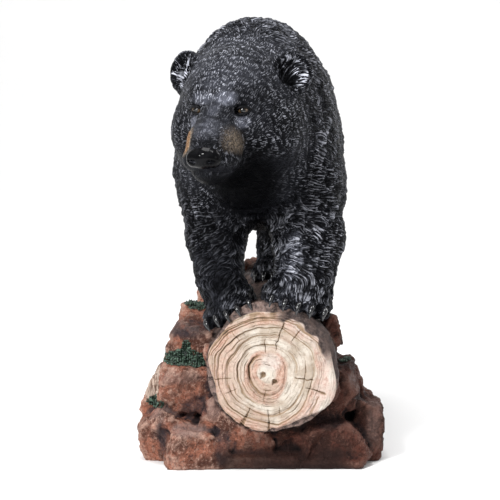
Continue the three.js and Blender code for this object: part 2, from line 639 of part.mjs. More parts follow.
// Thins a fine net to a count of faces. Each edge is priced by how far its merged point would leave the
// planes of the faces around it, and the cheapest is closed first, unless that would fold or pinch the
// surface. The care a place is worth multiplies its price.
function thinned({ points, faces }, wanted, care) {
  const quadrics = points.map(() => new Float64Array(10));
  const around = points.map(() => new Set());
  const cross = (a, b, c) => {
    const [ux, uy, uz] = [b[0] - a[0], b[1] - a[1], b[2] - a[2]];
    const [vx, vy, vz] = [c[0] - a[0], c[1] - a[1], c[2] - a[2]];
    return [uy * vz - uz * vy, uz * vx - ux * vz, ux * vy - uy * vx];
  };
  faces.forEach((face, f) => {
    const n = cross(...face.map((m) => points[m]));
    const area = Math.hypot(...n) + 1e-12;
    const [a, b, c] = n.map((m) => m / area);
    const d = -(a * points[face[0]][0] + b * points[face[0]][1] + c * points[face[0]][2]);
    const plane = [a * a, a * b, a * c, a * d, b * b, b * c, b * d, c * c, c * d, d * d];
    for (const m of face) {
      around[m].add(f);
      const worth = area * care(points[m]);
      plane.forEach((value, q) => { quadrics[m][q] += value * worth; });
    }
  });
  const misfit = (q, [x, y, z]) => (
    q[0] * x * x + 2 * q[1] * x * y + 2 * q[2] * x * z + 2 * q[3] * x + q[4] * y * y
    + 2 * q[5] * y * z + 2 * q[6] * y + q[7] * z * z + 2 * q[8] * z + q[9]);

  // The best merged point solves a 3 by 3 system. Where that is weak, it is the best of the ends and the
  // middle.
  const merge = (u, v) => {
    const q = quadrics[u].map((value, n) => value + quadrics[v][n]);
    const middle = points[u].map((value, n) => (value + points[v][n]) / 2);
    const span = Math.hypot(...points[u].map((value, n) => value - points[v][n]));
    let best = [points[u], points[v], middle].map((p) => [misfit(q, p), p]).sort((a, b) => a[0] - b[0])[0];
    const det = q[0] * (q[4] * q[7] - q[5] * q[5]) - q[1] * (q[1] * q[7] - q[5] * q[2])
      + q[2] * (q[1] * q[5] - q[4] * q[2]);
    const scale = (q[0] + q[4] + q[7]) ** 3;
    if (Math.abs(det) > 1e-3 * scale) {
      const [r, s, t] = [-q[3], -q[6], -q[8]];
      const p = [
        r * (q[4] * q[7] - q[5] * q[5]) - q[1] * (s * q[7] - q[5] * t) + q[2] * (s * q[5] - q[4] * t),
        q[0] * (s * q[7] - t * q[5]) - r * (q[1] * q[7] - q[5] * q[2]) + q[2] * (q[1] * t - s * q[2]),
        q[0] * (q[4] * t - q[5] * s) - q[1] * (q[1] * t - s * q[2]) + r * (q[1] * q[5] - q[4] * q[2]),
      ].map((value) => value / det);
      const cost = misfit(q, p);
      if (cost < best[0] && Math.hypot(...p.map((value, n) => value - middle[n])) < span) best = [cost, p];
    }
    return { cost: Math.max(best[0], 0) + 1e-4 * span * span, point: best[1], quadric: q };
  };

  const heapQueue = [];
  const push = (item) => {
    let n = heapQueue.length;
    heapQueue.push(item);
    while (n > 0) {
      const up = (n - 1) >> 1;
      if (heapQueue[up].cost <= item.cost) break;
      heapQueue[n] = heapQueue[up];
      n = up;
    }
    heapQueue[n] = item;
  };
  const pop = () => {
    const top = heapQueue[0];
    const item = heapQueue.pop();
    const size = heapQueue.length;
    let n = 0;
    while (size > 0) {
      let down = 2 * n + 1;
      if (down >= size) break;
      if (down + 1 < size && heapQueue[down + 1].cost < heapQueue[down].cost) down++;
      if (heapQueue[down].cost >= item.cost) break;
      heapQueue[n] = heapQueue[down];
      n = down;
    }
    if (size > 0) heapQueue[n] = item;
    return top;
  };

  const age = new Int32Array(points.length);
  const neighbours = (u) => {
    const found = new Set();
    for (const f of around[u]) {
      for (const m of faces[f]) if (m !== u) found.add(m);
    }
    return found;
  };
  const offer = (u, v) => {
    push({ cost: merge(u, v).cost, u, v, ageU: age[u], ageV: age[v] });
  };
  for (let u = 0; u < points.length; u++) {
    for (const v of neighbours(u)) if (v > u) offer(u, v);
  }

  const folds = (keep, gone, point) => {
    for (const f of around[keep]) {
      const face = faces[f];
      if (face.includes(gone)) continue;
      const before = cross(...face.map((m) => points[m]));
      const after = cross(...face.map((m) => (m === keep ? point : points[m])));
      const dot = before[0] * after[0] + before[1] * after[1] + before[2] * after[2];
      if (dot < 0.25 * Math.hypot(...before) * Math.hypot(...after) + 1e-9) return true;
    }
    return false;
  };

  let left = faces.length;
  while (left > wanted && heapQueue.length > 0) {
    const { u, v, ageU, ageV } = pop();
    if (age[u] !== ageU || age[v] !== ageV) continue;
    const nearV = neighbours(v);
    const shared = [...neighbours(u)].filter((m) => nearV.has(m));
    const { point, quadric } = merge(u, v);
    if (shared.length !== 2 || folds(u, v, point) || folds(v, u, point)) continue;
    if (shared.some((m) => around[m].size <= 3)) continue;
    for (const f of [...around[v]]) {
      const face = faces[f];
      if (face.includes(u)) {
        for (const m of face) around[m].delete(f);
        faces[f] = null;
        left--;
      } else {
        faces[f] = face.map((m) => (m === v ? u : m));
        around[u].add(f);
      }
    }
    around[v].clear();
    points[u] = point;
    quadrics[u] = quadric;
    age[u]++;
    age[v] = -1;
    for (const m of neighbours(u)) offer(u, m);
  }
  return { points, faces: faces.filter(Boolean) };
}

function netGeometry({ points, faces }) {
  const geometry = new THREE.BufferGeometry();
  geometry.setAttribute('position', new THREE.Float32BufferAttribute(points.flat(), 3));
  geometry.setIndex(faces.flat());
  return geometry;
}

function bearSolid(footing) {
  const body = new Clay(clay);
  sculptTrunk(body);
  sculptLegs(body);
  raiseLocks(body);
  sculptHead(body);
  sculptPaws(body);
  closePinches(body);
  const muzzle = new THREE.Vector3(...along(headAt, facing(headTurn), 0, 60, -30));
  const care = (point) => (muzzle.distanceTo(new THREE.Vector3(...point)) < 46 ? 6 : 1);
  return toSolid(netGeometry(thinned(wrapped(body), bearFaces, care))).subtract(footing);
}

function piece(name, solid, color, roughness) {
  const material = new THREE.MeshStandardMaterial({ color, roughness, metalness: 0 });
  const mesh = new THREE.Mesh(toGeometry(solid), material);
  mesh.name = name;
  return mesh;
}

const group = new THREE.Group();
group.add(piece('bear', bearSolid(heap(joint)), 0x17181b, 0.38));
group.add(piece('log_and_rock_base', heap(), 0x7a4436, 0.7));

export default group;
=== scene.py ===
import math

import bpy
import numpy as np
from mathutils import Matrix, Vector, kdtree


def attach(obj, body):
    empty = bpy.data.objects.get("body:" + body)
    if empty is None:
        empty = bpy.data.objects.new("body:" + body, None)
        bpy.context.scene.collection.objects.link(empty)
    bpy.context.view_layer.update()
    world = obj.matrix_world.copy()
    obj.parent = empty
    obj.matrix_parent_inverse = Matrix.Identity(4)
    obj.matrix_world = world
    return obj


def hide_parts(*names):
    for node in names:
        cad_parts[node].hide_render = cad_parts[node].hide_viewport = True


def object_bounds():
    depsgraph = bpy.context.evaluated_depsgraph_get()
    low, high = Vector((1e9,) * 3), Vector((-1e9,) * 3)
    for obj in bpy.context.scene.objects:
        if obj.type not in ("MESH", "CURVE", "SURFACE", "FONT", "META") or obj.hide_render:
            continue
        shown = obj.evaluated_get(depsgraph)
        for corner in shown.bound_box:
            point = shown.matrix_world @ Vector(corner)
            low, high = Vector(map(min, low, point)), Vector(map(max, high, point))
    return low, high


# Cast and hand-painted garden figure: a black bear walking along a fallen log on a heap of red rocks.
# Shapes are worked out in millimetres and turn into metres when a mesh is made. The bear faces -Y.

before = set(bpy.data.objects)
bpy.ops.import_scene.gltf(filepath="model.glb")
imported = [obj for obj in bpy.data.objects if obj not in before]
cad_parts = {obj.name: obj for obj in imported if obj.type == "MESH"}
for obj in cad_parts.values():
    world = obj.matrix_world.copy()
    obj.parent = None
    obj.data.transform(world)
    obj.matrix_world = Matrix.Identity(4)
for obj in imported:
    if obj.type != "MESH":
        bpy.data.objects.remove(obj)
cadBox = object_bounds()
mm = 0.001


# numbers from 0 to 1 that stay the same each run
def chance(a, b=0, c=0, d=0):
    whole = [np.asarray(v).astype(np.int64).astype(np.uint32) for v in np.broadcast_arrays(a, b, c, d)]
    with np.errstate(over="ignore"):
        h = whole[0] * np.uint32(374761393) ^ whole[1] * np.uint32(668265263)
        h = h ^ whole[2] * np.uint32(2147483647) ^ whole[3] * np.uint32(1274126177)
        h = (h ^ (h >> np.uint32(13))) * np.uint32(1103515245)
        h = (h ^ (h >> np.uint32(15))) * np.uint32(2246822519)
    return (h ^ (h >> np.uint32(16))).astype(np.float64) / 4294967296


def ease(value, low, high):
    t = np.clip((value - low) / (high - low), 0, 1)
    return t * t * (3 - 2 * t)


# a cell of a grid and the 26 around it
def around(cell):
    for i in (-1, 0, 1):
        for j in (-1, 0, 1):
            for k in (-1, 0, 1):
                yield cell + (i, j, k)


# soft lumps of one size, from -1 to 1
def lumps(points, size, seed=0):
    place = points / size
    cell = np.floor(place)
    f = place - cell
    f = f * f * (3 - 2 * f)
    total = np.zeros(len(points))
    for i in (0, 1):
        for j in (0, 1):
            for k in (0, 1):
                share = np.abs(1 - i - f[:, 0]) * np.abs(1 - j - f[:, 1]) * np.abs(1 - k - f[:, 2])
                total += share * chance(cell[:, 0] + i, cell[:, 1] + j, cell[:, 2] + k, seed)
    return 2 * total - 1


# flat chips as a mason's hammer leaves them: each cell has its own slope
def chips(points, size, seed=0):
    cell = np.floor(points / size)
    nearest = np.full(len(points), 1e9)
    height = np.zeros(len(points))
    for at in around(cell):
        draw = [chance(*at.T, seed + n) for n in range(6)]
        offset = points / size - at - np.stack(draw[:3], 1)
        reach = (offset ** 2).sum(1)
        slope = (offset * (np.stack(draw[3:], 1) - 0.5)).sum(1)
        closer = reach < nearest
        nearest, height = np.where(closer, reach, nearest), np.where(closer, slope, height)
    return height


# rows are the side, forward and up of a thing that looks along -Y, turned towards -X, nosed down, rolled
def facing(turn, dip=0.0, roll=0.0):
    t, d, r = map(math.radians, (turn, dip, roll))
    forward = np.array([-math.sin(t) * math.cos(d), -math.cos(t) * math.cos(d), -math.sin(d)])
    level = np.array([math.cos(t), -math.sin(t), 0.0])
    above = np.cross(forward, level)
    above = above if above[2] > 0 else -above
    side = level * math.cos(r) + above * math.sin(r)
    return np.array([side, forward, above * math.cos(r) - level * math.sin(r)])


straight = facing(0)


def along(origin, axes, s, f, u):
    return np.asarray(origin, float) + np.array([s, f, u]) @ axes


def unit(vectors):
    return vectors / np.maximum(np.linalg.norm(vectors, axis=1, keepdims=True), 1e-9)


# 1 in the middle of an egg-shaped area and 0 outside it
def area(points, at, half, axes=straight):
    local = (points - np.asarray(at, float)) @ axes.T / np.asarray(half, float)
    return 1 - ease(np.linalg.norm(local, axis=1), 0.45, 1.0)


# the strongest of several such areas: place, half sizes and, where it isn't 1, how strong
def areas(points, spots, axes=straight):
    total = np.zeros(len(points))
    for at, half, *amount in spots:
        total = np.maximum(total, (amount[0] if amount else 1) * area(points, at, half, axes))
    return total


# Clay: a block of samples that hold the distance to the surface, negative inside
def newClay(axes):
    return {"axes": axes, "value": np.full([len(a) for a in axes], 60, np.float32)}


def press(clay, low, high, distance, soft, cut):
    spans = []
    for axis, lo, hi in zip(clay["axes"], low, high):
        spans.append(slice(max(0, np.searchsorted(axis, lo) - 1), np.searchsorted(axis, hi) + 1))
    grid = np.meshgrid(*(axis[s] for axis, s in zip(clay["axes"], spans)), indexing="ij", sparse=True)
    old = clay["value"][tuple(spans)]
    new = distance(*grid)
    new = -new if cut else new
    fillet = (np.maximum(soft - np.abs(old - new), 0) / soft) ** 2 * soft / 4
    clay["value"][tuple(spans)] = np.maximum(old, new) + fillet if cut else np.minimum(old, new) - fillet


def ball(clay, centre, half, soft, axes=straight, cut=False):
    centre, half = np.asarray(centre, float), np.asarray(half, float)
    reach = half.max() + soft + 6

    def distance(x, y, z):
        offset = (x - centre[0], y - centre[1], z - centre[2])
        local = [sum(a * o for a, o in zip(axis, offset)) / h for axis, h in zip(axes, half)]
        k0 = np.sqrt(sum(p * p for p in local))
        k1 = np.sqrt(sum((p / h) ** 2 for p, h in zip(local, half))) + 1e-6
        return k0 * (k0 - 1) / k1
    press(clay, centre - reach, centre + reach, distance, soft, cut)


def limb(clay, start, end, r0, r1, soft, cut=False):
    start, end = np.asarray(start, float), np.asarray(end, float)
    run = end - start
    reach = max(r0, r1) + soft + 6

    def distance(x, y, z):
        offset = (x - start[0], y - start[1], z - start[2])
        t = np.clip(sum(o * d for o, d in zip(offset, run)) / (run @ run), 0, 1)
        return np.sqrt(sum((o - t * d) ** 2 for o, d in zip(offset, run))) - (r0 + (r1 - r0) * t)
    press(clay, np.minimum(start, end) - reach, np.maximum(start, end) + reach, distance, soft, cut)


# wraps the clay in four-sided faces, one point to each cell that the surface crosses
def skinOf(clay):
    value, axes = clay["value"], clay["axes"]
    inside = value < 0
    shape = [n - 1 for n in value.shape]
    corners = [(i, j, k) for i in (0, 1) for j in (0, 1) for k in (0, 1)]
    count = sum(inside[i:shape[0] + i, j:shape[1] + j, k:shape[2] + k].astype(np.int8) for i, j, k in corners)
    cells = np.nonzero((count > 0) & (count < 8))
    ids = np.full(shape, -1)
    ids[cells] = np.arange(len(cells[0]))
    at = {c: value[cells[0] + c[0], cells[1] + c[1], cells[2] + c[2]] for c in corners}
    total = np.zeros((len(cells[0]), 3))
    crossings = np.zeros(len(cells[0]))
    for axis in range(3):
        for start in corners:
            if start[axis]:
                continue
            end = tuple(1 if n == axis else v for n, v in enumerate(start))
            crosses = (at[start] < 0) != (at[end] < 0)
            share = at[start] / np.where(crosses, at[start] - at[end], 1)
            step = np.tile(np.array(start, float), (len(share), 1))
            step[:, axis] = share
            total += step * crosses[:, None]
            crossings += crosses
    total /= crossings[:, None]
    points = np.stack([a[c] + total[:, n] * (a[c + 1] - a[c]) for n, (a, c) in enumerate(zip(axes, cells))], 1)
    faces = []
    for axis in range(3):
        b, c = [n for n in range(3) if n != axis]
        low, high = [slice(1, -1)] * 3, [slice(1, -1)] * 3
        low[axis], high[axis] = slice(0, -1), slice(1, None)
        here = list(np.nonzero(inside[tuple(low)] != inside[tuple(high)]))
        here[b], here[c] = here[b] + 1, here[c] + 1
        ring = []
        for db, dc in ((1, 1), (0, 1), (0, 0), (1, 0)):
            near = list(here)
            near[b], near[c] = here[b] - db, here[c] - dc
            ring.append(ids[tuple(near)])
        ring = np.stack(ring, 1)
        flip = inside[tuple(here)] == (axis == 1)
        ring[flip] = ring[flip][:, ::-1]
        faces.append(ring)
    return points, np.concatenate(faces)


def normalsOf(points, faces):
    a, b = points[faces[:, 2]] - points[faces[:, 0]], points[faces[:, -1]] - points[faces[:, 1]]
    across = np.cross(a, b)
    total = np.zeros_like(points)
    for corner in faces.T:
        for axis in range(3):
            total[:, axis] += np.bincount(corner, across[:, axis], len(points))
    return unit(total)


# evens a surface out, each point moving towards the mean of its neighbours
def relaxed(points, faces, rounds, share=0.5):
    pairs = np.stack([faces, np.roll(faces, 1, axis=1)], -1).reshape(-1, 2)
    ends = np.concatenate([pairs, pairs[:, ::-1]])
    count = np.bincount(ends[:, 0], minlength=len(points))[:, None]
    for _ in range(rounds):
        total = [np.bincount(ends[:, 0], points[ends[:, 1], n], len(points)) for n in range(3)]
        points = points + share * (np.stack(total, 1) / count - points)
    return points


# four-sided faces between rings of points that stand one after another
def ringFaces(rings, sides):
    start = np.arange((rings - 1) * sides).reshape(-1, sides)
    after = np.roll(start, -1, axis=1)
    return np.stack([start, after, after + sides, start + sides], -1).reshape(-1, 4)


# several small meshes as one
def joined(meshes):
    points, faces, count = [], [], 0
    for p, f in meshes:
        points.append(p)
        faces.append(f + count)
        count += len(p)
    return np.concatenate(points), np.concatenate(faces)


def newObject(name, data):
    item = bpy.data.objects.new(name, data)
    bpy.context.scene.collection.objects.link(item)
    return item


def newMesh(name, points, faces, material):
    mesh = bpy.data.meshes.new(name)
    mesh.from_pydata((points * mm).tolist(), [], faces.tolist())
    mesh.polygons.foreach_set("use_smooth", np.ones(len(mesh.polygons), bool))
    mesh.materials.append(material)
    return mesh


# a visible piece of the part, with numbers or directions that its material reads at each point
def newPiece(name, points, faces, material, slot, attributes=None):
    mesh = newMesh(name, points, faces, material)
    for key, values in (attributes or {}).items():
        vector = np.ndim(values) == 2
        store = mesh.attributes.new(key, "FLOAT_VECTOR" if vector else "FLOAT", "POINT")
        store.data.foreach_set("vector" if vector else "value", np.asarray(values, np.float32).ravel())
    piece = newObject(name, mesh)
    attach(piece, "root")
    return piece


# Materials are node trees, put together through these few helpers
class Finish:
    def __init__(self, name, **settings):
        self.material = bpy.data.materials.new(name)
        self.material.use_nodes = True
        self.tree = self.material.node_tree
        self.surface = self.tree.nodes["Principled BSDF"]
        self.colour = (0, 0, 0)
        self.place = self.add("ShaderNodeVectorMath", {"operation": "SCALE"}, {
            "Vector": self.add("ShaderNodeTexCoord", {}, {}, "Object"), "Scale": 1 / mm}, 0)
        for key, value in settings.items():
            self.surface.inputs[key.replace("_", " ")].default_value = value

    # a node with its settings and inputs; a socket is linked, anything else is set
    def add(self, kind, settings, inputs, output=0):
        node = self.tree.nodes.new(kind)
        for key, value in settings.items():
            setattr(node, key, value)
        for key, value in inputs.items():
            if isinstance(value, bpy.types.NodeSocket):
                self.tree.links.new(value, node.inputs[key])
            else:
                node.inputs[key].default_value = value
        return node.outputs[output]

    def read(self, name, output="Fac"):
        return self.add("ShaderNodeAttribute", {"attribute_name": name}, {}, output)

    def maths(self, operation, a, b=0.0, clamp=False):
        return self.add("ShaderNodeMath", {"operation": operation, "use_clamp": clamp}, {0: a, 1: b})

    def times(self, a, b, clamp=False):
        return self.maths("MULTIPLY", a, b, clamp)

    def plus(self, a, b):
        return self.maths("ADD", a, b)

    def vector(self, operation, a, b, output="Vector"):
        return self.add("ShaderNodeVectorMath", {"operation": operation}, {0: a, 1: b}, output)

    def noise(self, size, detail=3.0, place=None, roughness=0.55):
        return self.add("ShaderNodeTexNoise", {}, {
            "Vector": place or self.place, "Scale": 1 / size, "Detail": detail, "Roughness": roughness})

    def ramp(self, value, low, high, start=0.0, end=1.0):
        return self.add("ShaderNodeMapRange", {"interpolation_type": "SMOOTHSTEP"}, {
            "Value": value, "From Min": low, "From Max": high, "To Min": start, "To Max": end})

    def mix(self, share, a, b):
        as4 = [v if isinstance(v, bpy.types.NodeSocket) else (*v, 1.0) for v in (a, b)]
        return self.add("ShaderNodeMix", {"data_type": "RGBA"}, {0: share, 6: as4[0], 7: as4[1]}, 2)

    # lays one more paint over the colour so far
    def lay(self, share, paint):
        self.colour = self.mix(share, self.colour, paint)

    def set(self, name, value):
        self.tree.links.new(value, self.surface.inputs[name])

    def bump(self, height, depth):
        self.set("Normal", self.add("ShaderNodeBump", {}, {
            "Height": height, "Distance": depth * mm, "Strength": 1.0}))


bear = {
    "head": (-16, -132, 278), "headTurn": 15,
    "low": (-80, -222, 96), "high": (74, 164, 346), "waist": -92,
    "step": 1.5, "rearStep": 2.9,
    "strokes": ((15.0, 11.0, 1.0, 0.03, 0.05), (5.0, 3.0, 0.62, 0.06, 0.0)),  # group, length, width, curl, comb
    "trunk": (  # place, half sizes, softness
        ((-6, -80, 285), (48, 66, 53.5), 20),  # hump over the shoulders
        ((-5, -95, 238), (50, 56, 58), 30),
        ((-4, -14, 250), (53, 96, 68), 34),
        ((-2, 70, 264), (52, 76, 61), 34),  # rump
        ((-4, 30, 222), (55, 84, 48), 26),
        ((-3, -20, 206), (44, 80, 34), 26),  # belly
    ),
    "legs": (  # shoulder or haunch, its half sizes, then the joints with their radii
        ((-42, -88, 226), (24, 36, 46), (
            (-36, -98, 214, 29), (-35.5, -114, 172, 21.5), (-31.5, -129, 138, 18))),
        ((32, -88, 228), (23, 36, 46), (
            (30, -98, 214, 29), (36, -114, 172, 26), (33, -132, 138, 23))),
        ((28, 72, 214), (27, 50, 54), (
            (27, 66, 190, 33), (12, 44, 170, 23.5), (5.5, 54, 148, 18.5), (5, 42, 134, 18))),
        ((-35, 88, 214), (26, 50, 54), (
            (-38, 98, 190, 31), (-47, 84, 168, 21), (-48, 108, 146, 18), (-48, 98, 132, 17))),
    ),
    "lock": {"length": 25, "width": 13.5, "height": 1.9, "depth": 9},
    "tufts": (  # how much lower they lie on the head, and their share in the paint
        {"length": 18.0, "width": 6.5, "height": 1.9, "onHead": 0.72, "share": 0.6},
        {"length": 9.0, "width": 3.8, "height": 0.9, "onHead": 0.42, "share": 0.4},
    ),
}
log = {
    "front": -166, "height": 77, "radius": 48, "taper": 0.009, "axisX": 10.9, "drift": -0.051,
    "furrow": (0.045, 0.030, 0.027), "bark": (0.20, 0.135, 0.115), "ridge": (0.33, 0.25, 0.22),
}

headAxes = facing(bear["headTurn"])
eyes = {  # on the head: side, forward, up
    "at": np.array([17.8, 40.6, -7.4]), "radius": 5.2, "shape": (1, 1.01, 0.72), "gaze": (0.16, 1.0, 0.02),
    "lids": (  # tapered bars that hug the eyeball: inner corner, middle, outer corner, then the radii
        ((-6.4, 2.6, -1.5), (-0.3, 5.2, 2.7), (6.4, 0.6, 0.9), (0.6, 1.1, 1.2, 1.1, 0.6)),
        ((-6.4, 2.6, -1.5), (0.2, 5.2, -2.7), (6.4, 0.6, 0.9), (0.5, 0.8, 0.9, 0.8, 0.5)),
    ),
    "iris": ((0.02, 0.012, 0.007), (0.14, 0.09, 0.048)), "rim": (0.008, 0.006, 0.006),
    "pupil": (0.002, 0.002, 0.002), "lidPaints": ((0.002, 0.002, 0.0025), (0.008, 0.008, 0.010)),
}


def onHead(s, f, u):
    return along(bear["head"], headAxes, s, f, u)


# the middle of an ear and its axes, for the side m: -1 or 1
def earPlace(m):
    return onHead(42 * m, 2, 19.3), facing(bear["headTurn"] - 25 * m, -8)


def logX(y):
    return log["axisX"] + log["drift"] * (y - log["front"])


def logRadius(y):
    return log["radius"] - log["taper"] * (y - log["front"])


# the paws' soles, the way they face and their sizes; the front ones follow the log's round back
def pawPlaces():
    places = []
    front = {"length": 24, "height": 13, "claw": 9}
    for x, y, roll, turn, width in ((-18.5, -138, -28, 6, 24), (27.5, -143, 15, -4, 27)):
        lean, swing = math.radians(roll), math.radians(turn)
        up = np.array([math.sin(lean), 0, math.cos(lean)])
        level = np.array([math.cos(lean), 0, -math.sin(lean)])
        ahead = np.array([0, -1, 0])
        axes = np.array([level * math.cos(swing) + ahead * math.sin(swing),
                         ahead * math.cos(swing) - level * math.sin(swing), up])
        rise = math.sqrt(logRadius(y) ** 2 - (x - logX(y)) ** 2)
        places.append(((x, y, log["height"] + rise - 1), axes, {"width": width, **front}))
    for at, turn in (((4, 24, 123), 4), ((-48, 82, 116), 2)):
        places.append((at, facing(turn), {"width": 20, "length": 27, "height": 13, "claw": 7}))
    return places


# the line of each claw of a paw, from its root to its tip, with the toe it grows from
def toesOf(at, axes, paw):
    for toe in range(-2, 3):
        spread = toe / 2
        s = spread * paw["width"] * 0.76
        reach = paw["length"] * 0.74 - spread ** 2 * 5.5
        root = along(at, axes, s * 0.9, reach - 9, paw["height"] * 0.6)
        tip = (s, reach + 2, paw["height"] * 0.26)
        line = ((3, 2), (paw["claw"] * 0.6 + 3, 1.4), (paw["claw"] + 1.8, -4.6))
        yield root, along(at, axes, *tip), [along(at, axes, s, tip[1] + f, tip[2] + u) for f, u in line]


def sculptTrunkAndLegs(clay):
    for centre, half, soft in bear["trunk"]:
        ball(clay, centre, half, soft)
    limb(clay, (-4, 138, 274), (-4, 150, 250), 10, 7.5, 12)  # tail
    limb(clay, (-8, -100, 276), (-16, -136, 276), 50, 39, 24)  # neck
    ball(clay, (-10, -116, 240), (42, 38, 44), 22)  # throat
    for shoulder, muscle, chain in bear["legs"]:
        ball(clay, shoulder, muscle, 21)
        for n, (a, b) in enumerate(zip(chain, chain[1:])):
            limb(clay, a[:3], b[:3], a[3], b[3], 10 if n else 16)


def sculptNose(clay, grown=0.0):
    ball(clay, onHead(0.6, 79, -40.5), np.array([12.2, 8.5, 8.2]) + grown, 1.5, headAxes)
    ball(clay, onHead(0.6, 74, -35), np.array([11, 9, 6.2]) + grown, 2.5, headAxes)
    for m in (-1, 1):
        ball(clay, onHead(0.6 + 8.4 * m, 79.5, -41.5), np.array([4.6, 6, 5.8]) + grown, 2, headAxes)  # wing
        ball(clay, onHead(0.6 + 6.4 * m, 86.2, -43.4), (2.4, 3.4, 1.7), 1.2, headAxes, cut=True)  # nostril
        limb(clay, onHead(0.6 + 8 * m, 86, -43), onHead(0.6 + 12 * m, 81, -41.5), 1.0, 0.7, 0.8, cut=True)
    limb(clay, onHead(0.6, 88.5, -45), onHead(0.6, 83, -52), 0.7, 0.8, 1.0, cut=True)


def sculptHead(clay):
    ball(clay, onHead(0, 0, -3), (40, 44, 34), 14, headAxes)  # skull
    ball(clay, onHead(0, 24, 0), (28, 24, 20), 12, headAxes)  # forehead
    for m in (-1, 1):
        ball(clay, onHead(28 * m, 4, -25), (23.5, 30, 28), 9, headAxes)  # cheek and its ruff
        ball(clay, onHead(14 * m, 33, 3), (12, 13, 8.5), 8, headAxes)  # brow
    limb(clay, onHead(0, 36, -24), onHead(0, 65, -37), 22.5, 15, 12)  # muzzle
    limb(clay, onHead(0, 34, -9), onHead(0, 72, -31.5), 12, 9.5, 9)  # bridge of the nose
    limb(clay, onHead(0, 26, -47), onHead(0, 63, -51.5), 17, 9, 8)  # jaw
    ball(clay, onHead(0, 61, -51), (14, 15, 9.5), 5, headAxes)  # chin
    for m in (-1, 1):
        ball(clay, onHead(9.5 * m, 60, -42.5), (12, 19.5, 10), 5, headAxes)  # upper lip
        ball(clay, onHead(9 * m, 56, -30), (10.5, 17, 12), 6, headAxes)  # side of the muzzle
    for m in (-1, 1):  # line of the mouth
        limb(clay, onHead(m, 80, -50.5), onHead(14 * m, 69, -52.5), 1.0, 1.1, 1.2, cut=True)
        limb(clay, onHead(14 * m, 69, -52.5), onHead(22 * m, 50, -47.5), 1.1, 0.7, 1.2, cut=True)
    sculptNose(clay)
    for m in (-1, 1):
        ball(clay, onHead(17.8 * m, 45.8, -7.4), (6.8, 4.6, 3.8), 3, headAxes, cut=True)  # socket
        ball(clay, onHead(*eyes["at"] * (m, 1, 1)), [eyes["radius"] - 0.2] * 3, 0.6, headAxes)
        root, ear = earPlace(m)
        ball(clay, root, (16.5, 6.8, 17), 5, ear)
        ball(clay, along(root, ear, 0, 6.5, 1), (12.6, 8.5, 13), 1.5, ear, cut=True)


def sculptPaws(clay):
    for at, axes, paw in pawPlaces():
        half = (paw["width"], paw["length"], paw["height"])
        ball(clay, along(at, axes, 0, -2, paw["height"] * 0.45), half, 10, axes)
        for root, tip, line in toesOf(at, axes, paw):
            limb(clay, root, tip, 5.9, 5, 1.8)
    ball(clay, (-3, -150, 131), (4.5, 30, 13), 2, cut=True)  # gap between the front paws


# the big locks of the coat: they lie like shingles, each thickest near its tip
def raiseLocks(clay):
    lock = bear["lock"]
    where = np.nonzero(np.abs(clay["value"]) < lock["depth"])
    points = np.stack([axis[n] for axis, n in zip(clay["axes"], where)], 1)
    offset = points - bear["head"]
    ahead, away = -offset[:, 1], np.linalg.norm(offset, axis=1)
    bare = np.clip((ahead - 2) / 26, 0, 1) * np.clip((74 - away) / 20 + 1, 0, 1)
    leg = np.clip((196 - points[:, 2]) / 30, 0, 1)
    sole = np.clip((points[:, 2] - 128) / 16, 0, 1)
    strength = (1 - bare) * sole * (1 - 0.4 * leg)
    flow = unit(np.stack([0 * leg, 0.85 - 0.75 * leg, -0.55 - 0.45 * leg], 1))
    out = np.cross(flow, (1.0, 0.0, 0.0))
    place = np.stack([(points * flow).sum(1) / lock["length"], points[:, 0] / lock["width"],
                      (points * out).sum(1) / lock["width"]], 1)
    cell = np.floor(place)
    nearest, height = np.full(len(points), 1e9), np.zeros(len(points))
    for at in around(cell):
        da, db, dc = (place - at - 0.2 - 0.6 * np.stack([chance(*at.T, n) for n in (1, 2, 3)], 1)).T
        across = db * db + dc * dc
        reach = da * da + across * np.where(da > 0, 1.7, 1)
        covers = np.clip(0.5 + 0.8 * da, 0, 1) * np.clip(1.15 - 1.5 * across, 0, 1)
        closer = reach < nearest
        nearest, height = np.where(closer, reach, nearest), np.where(closer, covers, height)
    clay["value"][where] -= (lock["height"] * strength * (height - 0.35)).astype(np.float32)


# how much of a place belongs to the head
def headShare(points):
    local = (points - np.asarray(bear["head"], float)) @ headAxes.T
    away = np.linalg.norm(points - onHead(0, 22, -16), axis=1)
    return ease(local[:, 1], -24, -4) * (1 - ease(away, 66, 82))


# which way the hair lies: back from the nose, along the body, out and down the legs, forward over the toes
def hairFlow(points, normals):
    head = headShare(points)[:, None]
    leg = (1 - ease(points[:, 2], 168, 216))[:, None]
    toe = (1 - ease(points[:, 2], 132, 152))[:, None]
    flow = (1 - leg) * np.array([0, 1, -0.32]) + leg * np.array([0, 0.8, -0.5])
    flow[:, 0] += 0.9 * np.tanh((points[:, 0] + 6) / 14) * (1 - ease(points[:, 1], -90, -30))
    flow = (1 - toe) * flow + toe * np.array([0, -0.75, -0.7])
    flow = (1 - head) * unit(flow) + head * unit(points - onHead(0, 60, -36))
    for m in (-1, 1):
        root, ear = earPlace(m)
        near = area(points, root, (26, 26, 26))[:, None]
        flow = (1 - near) * flow + near * unit(points - along(root, ear, -5 * m, 0, -9))
    flow = unit(flow - normals * (flow * normals).sum(1, keepdims=True))
    turn = 0.42 * lumps(points, 26, 3) + 0.38 * lumps(points, 9, 4)
    turned = flow * np.cos(turn)[:, None] + np.cross(normals, flow) * np.sin(turn)[:, None]
    return unit(turned - normals * (turned * normals).sum(1, keepdims=True))


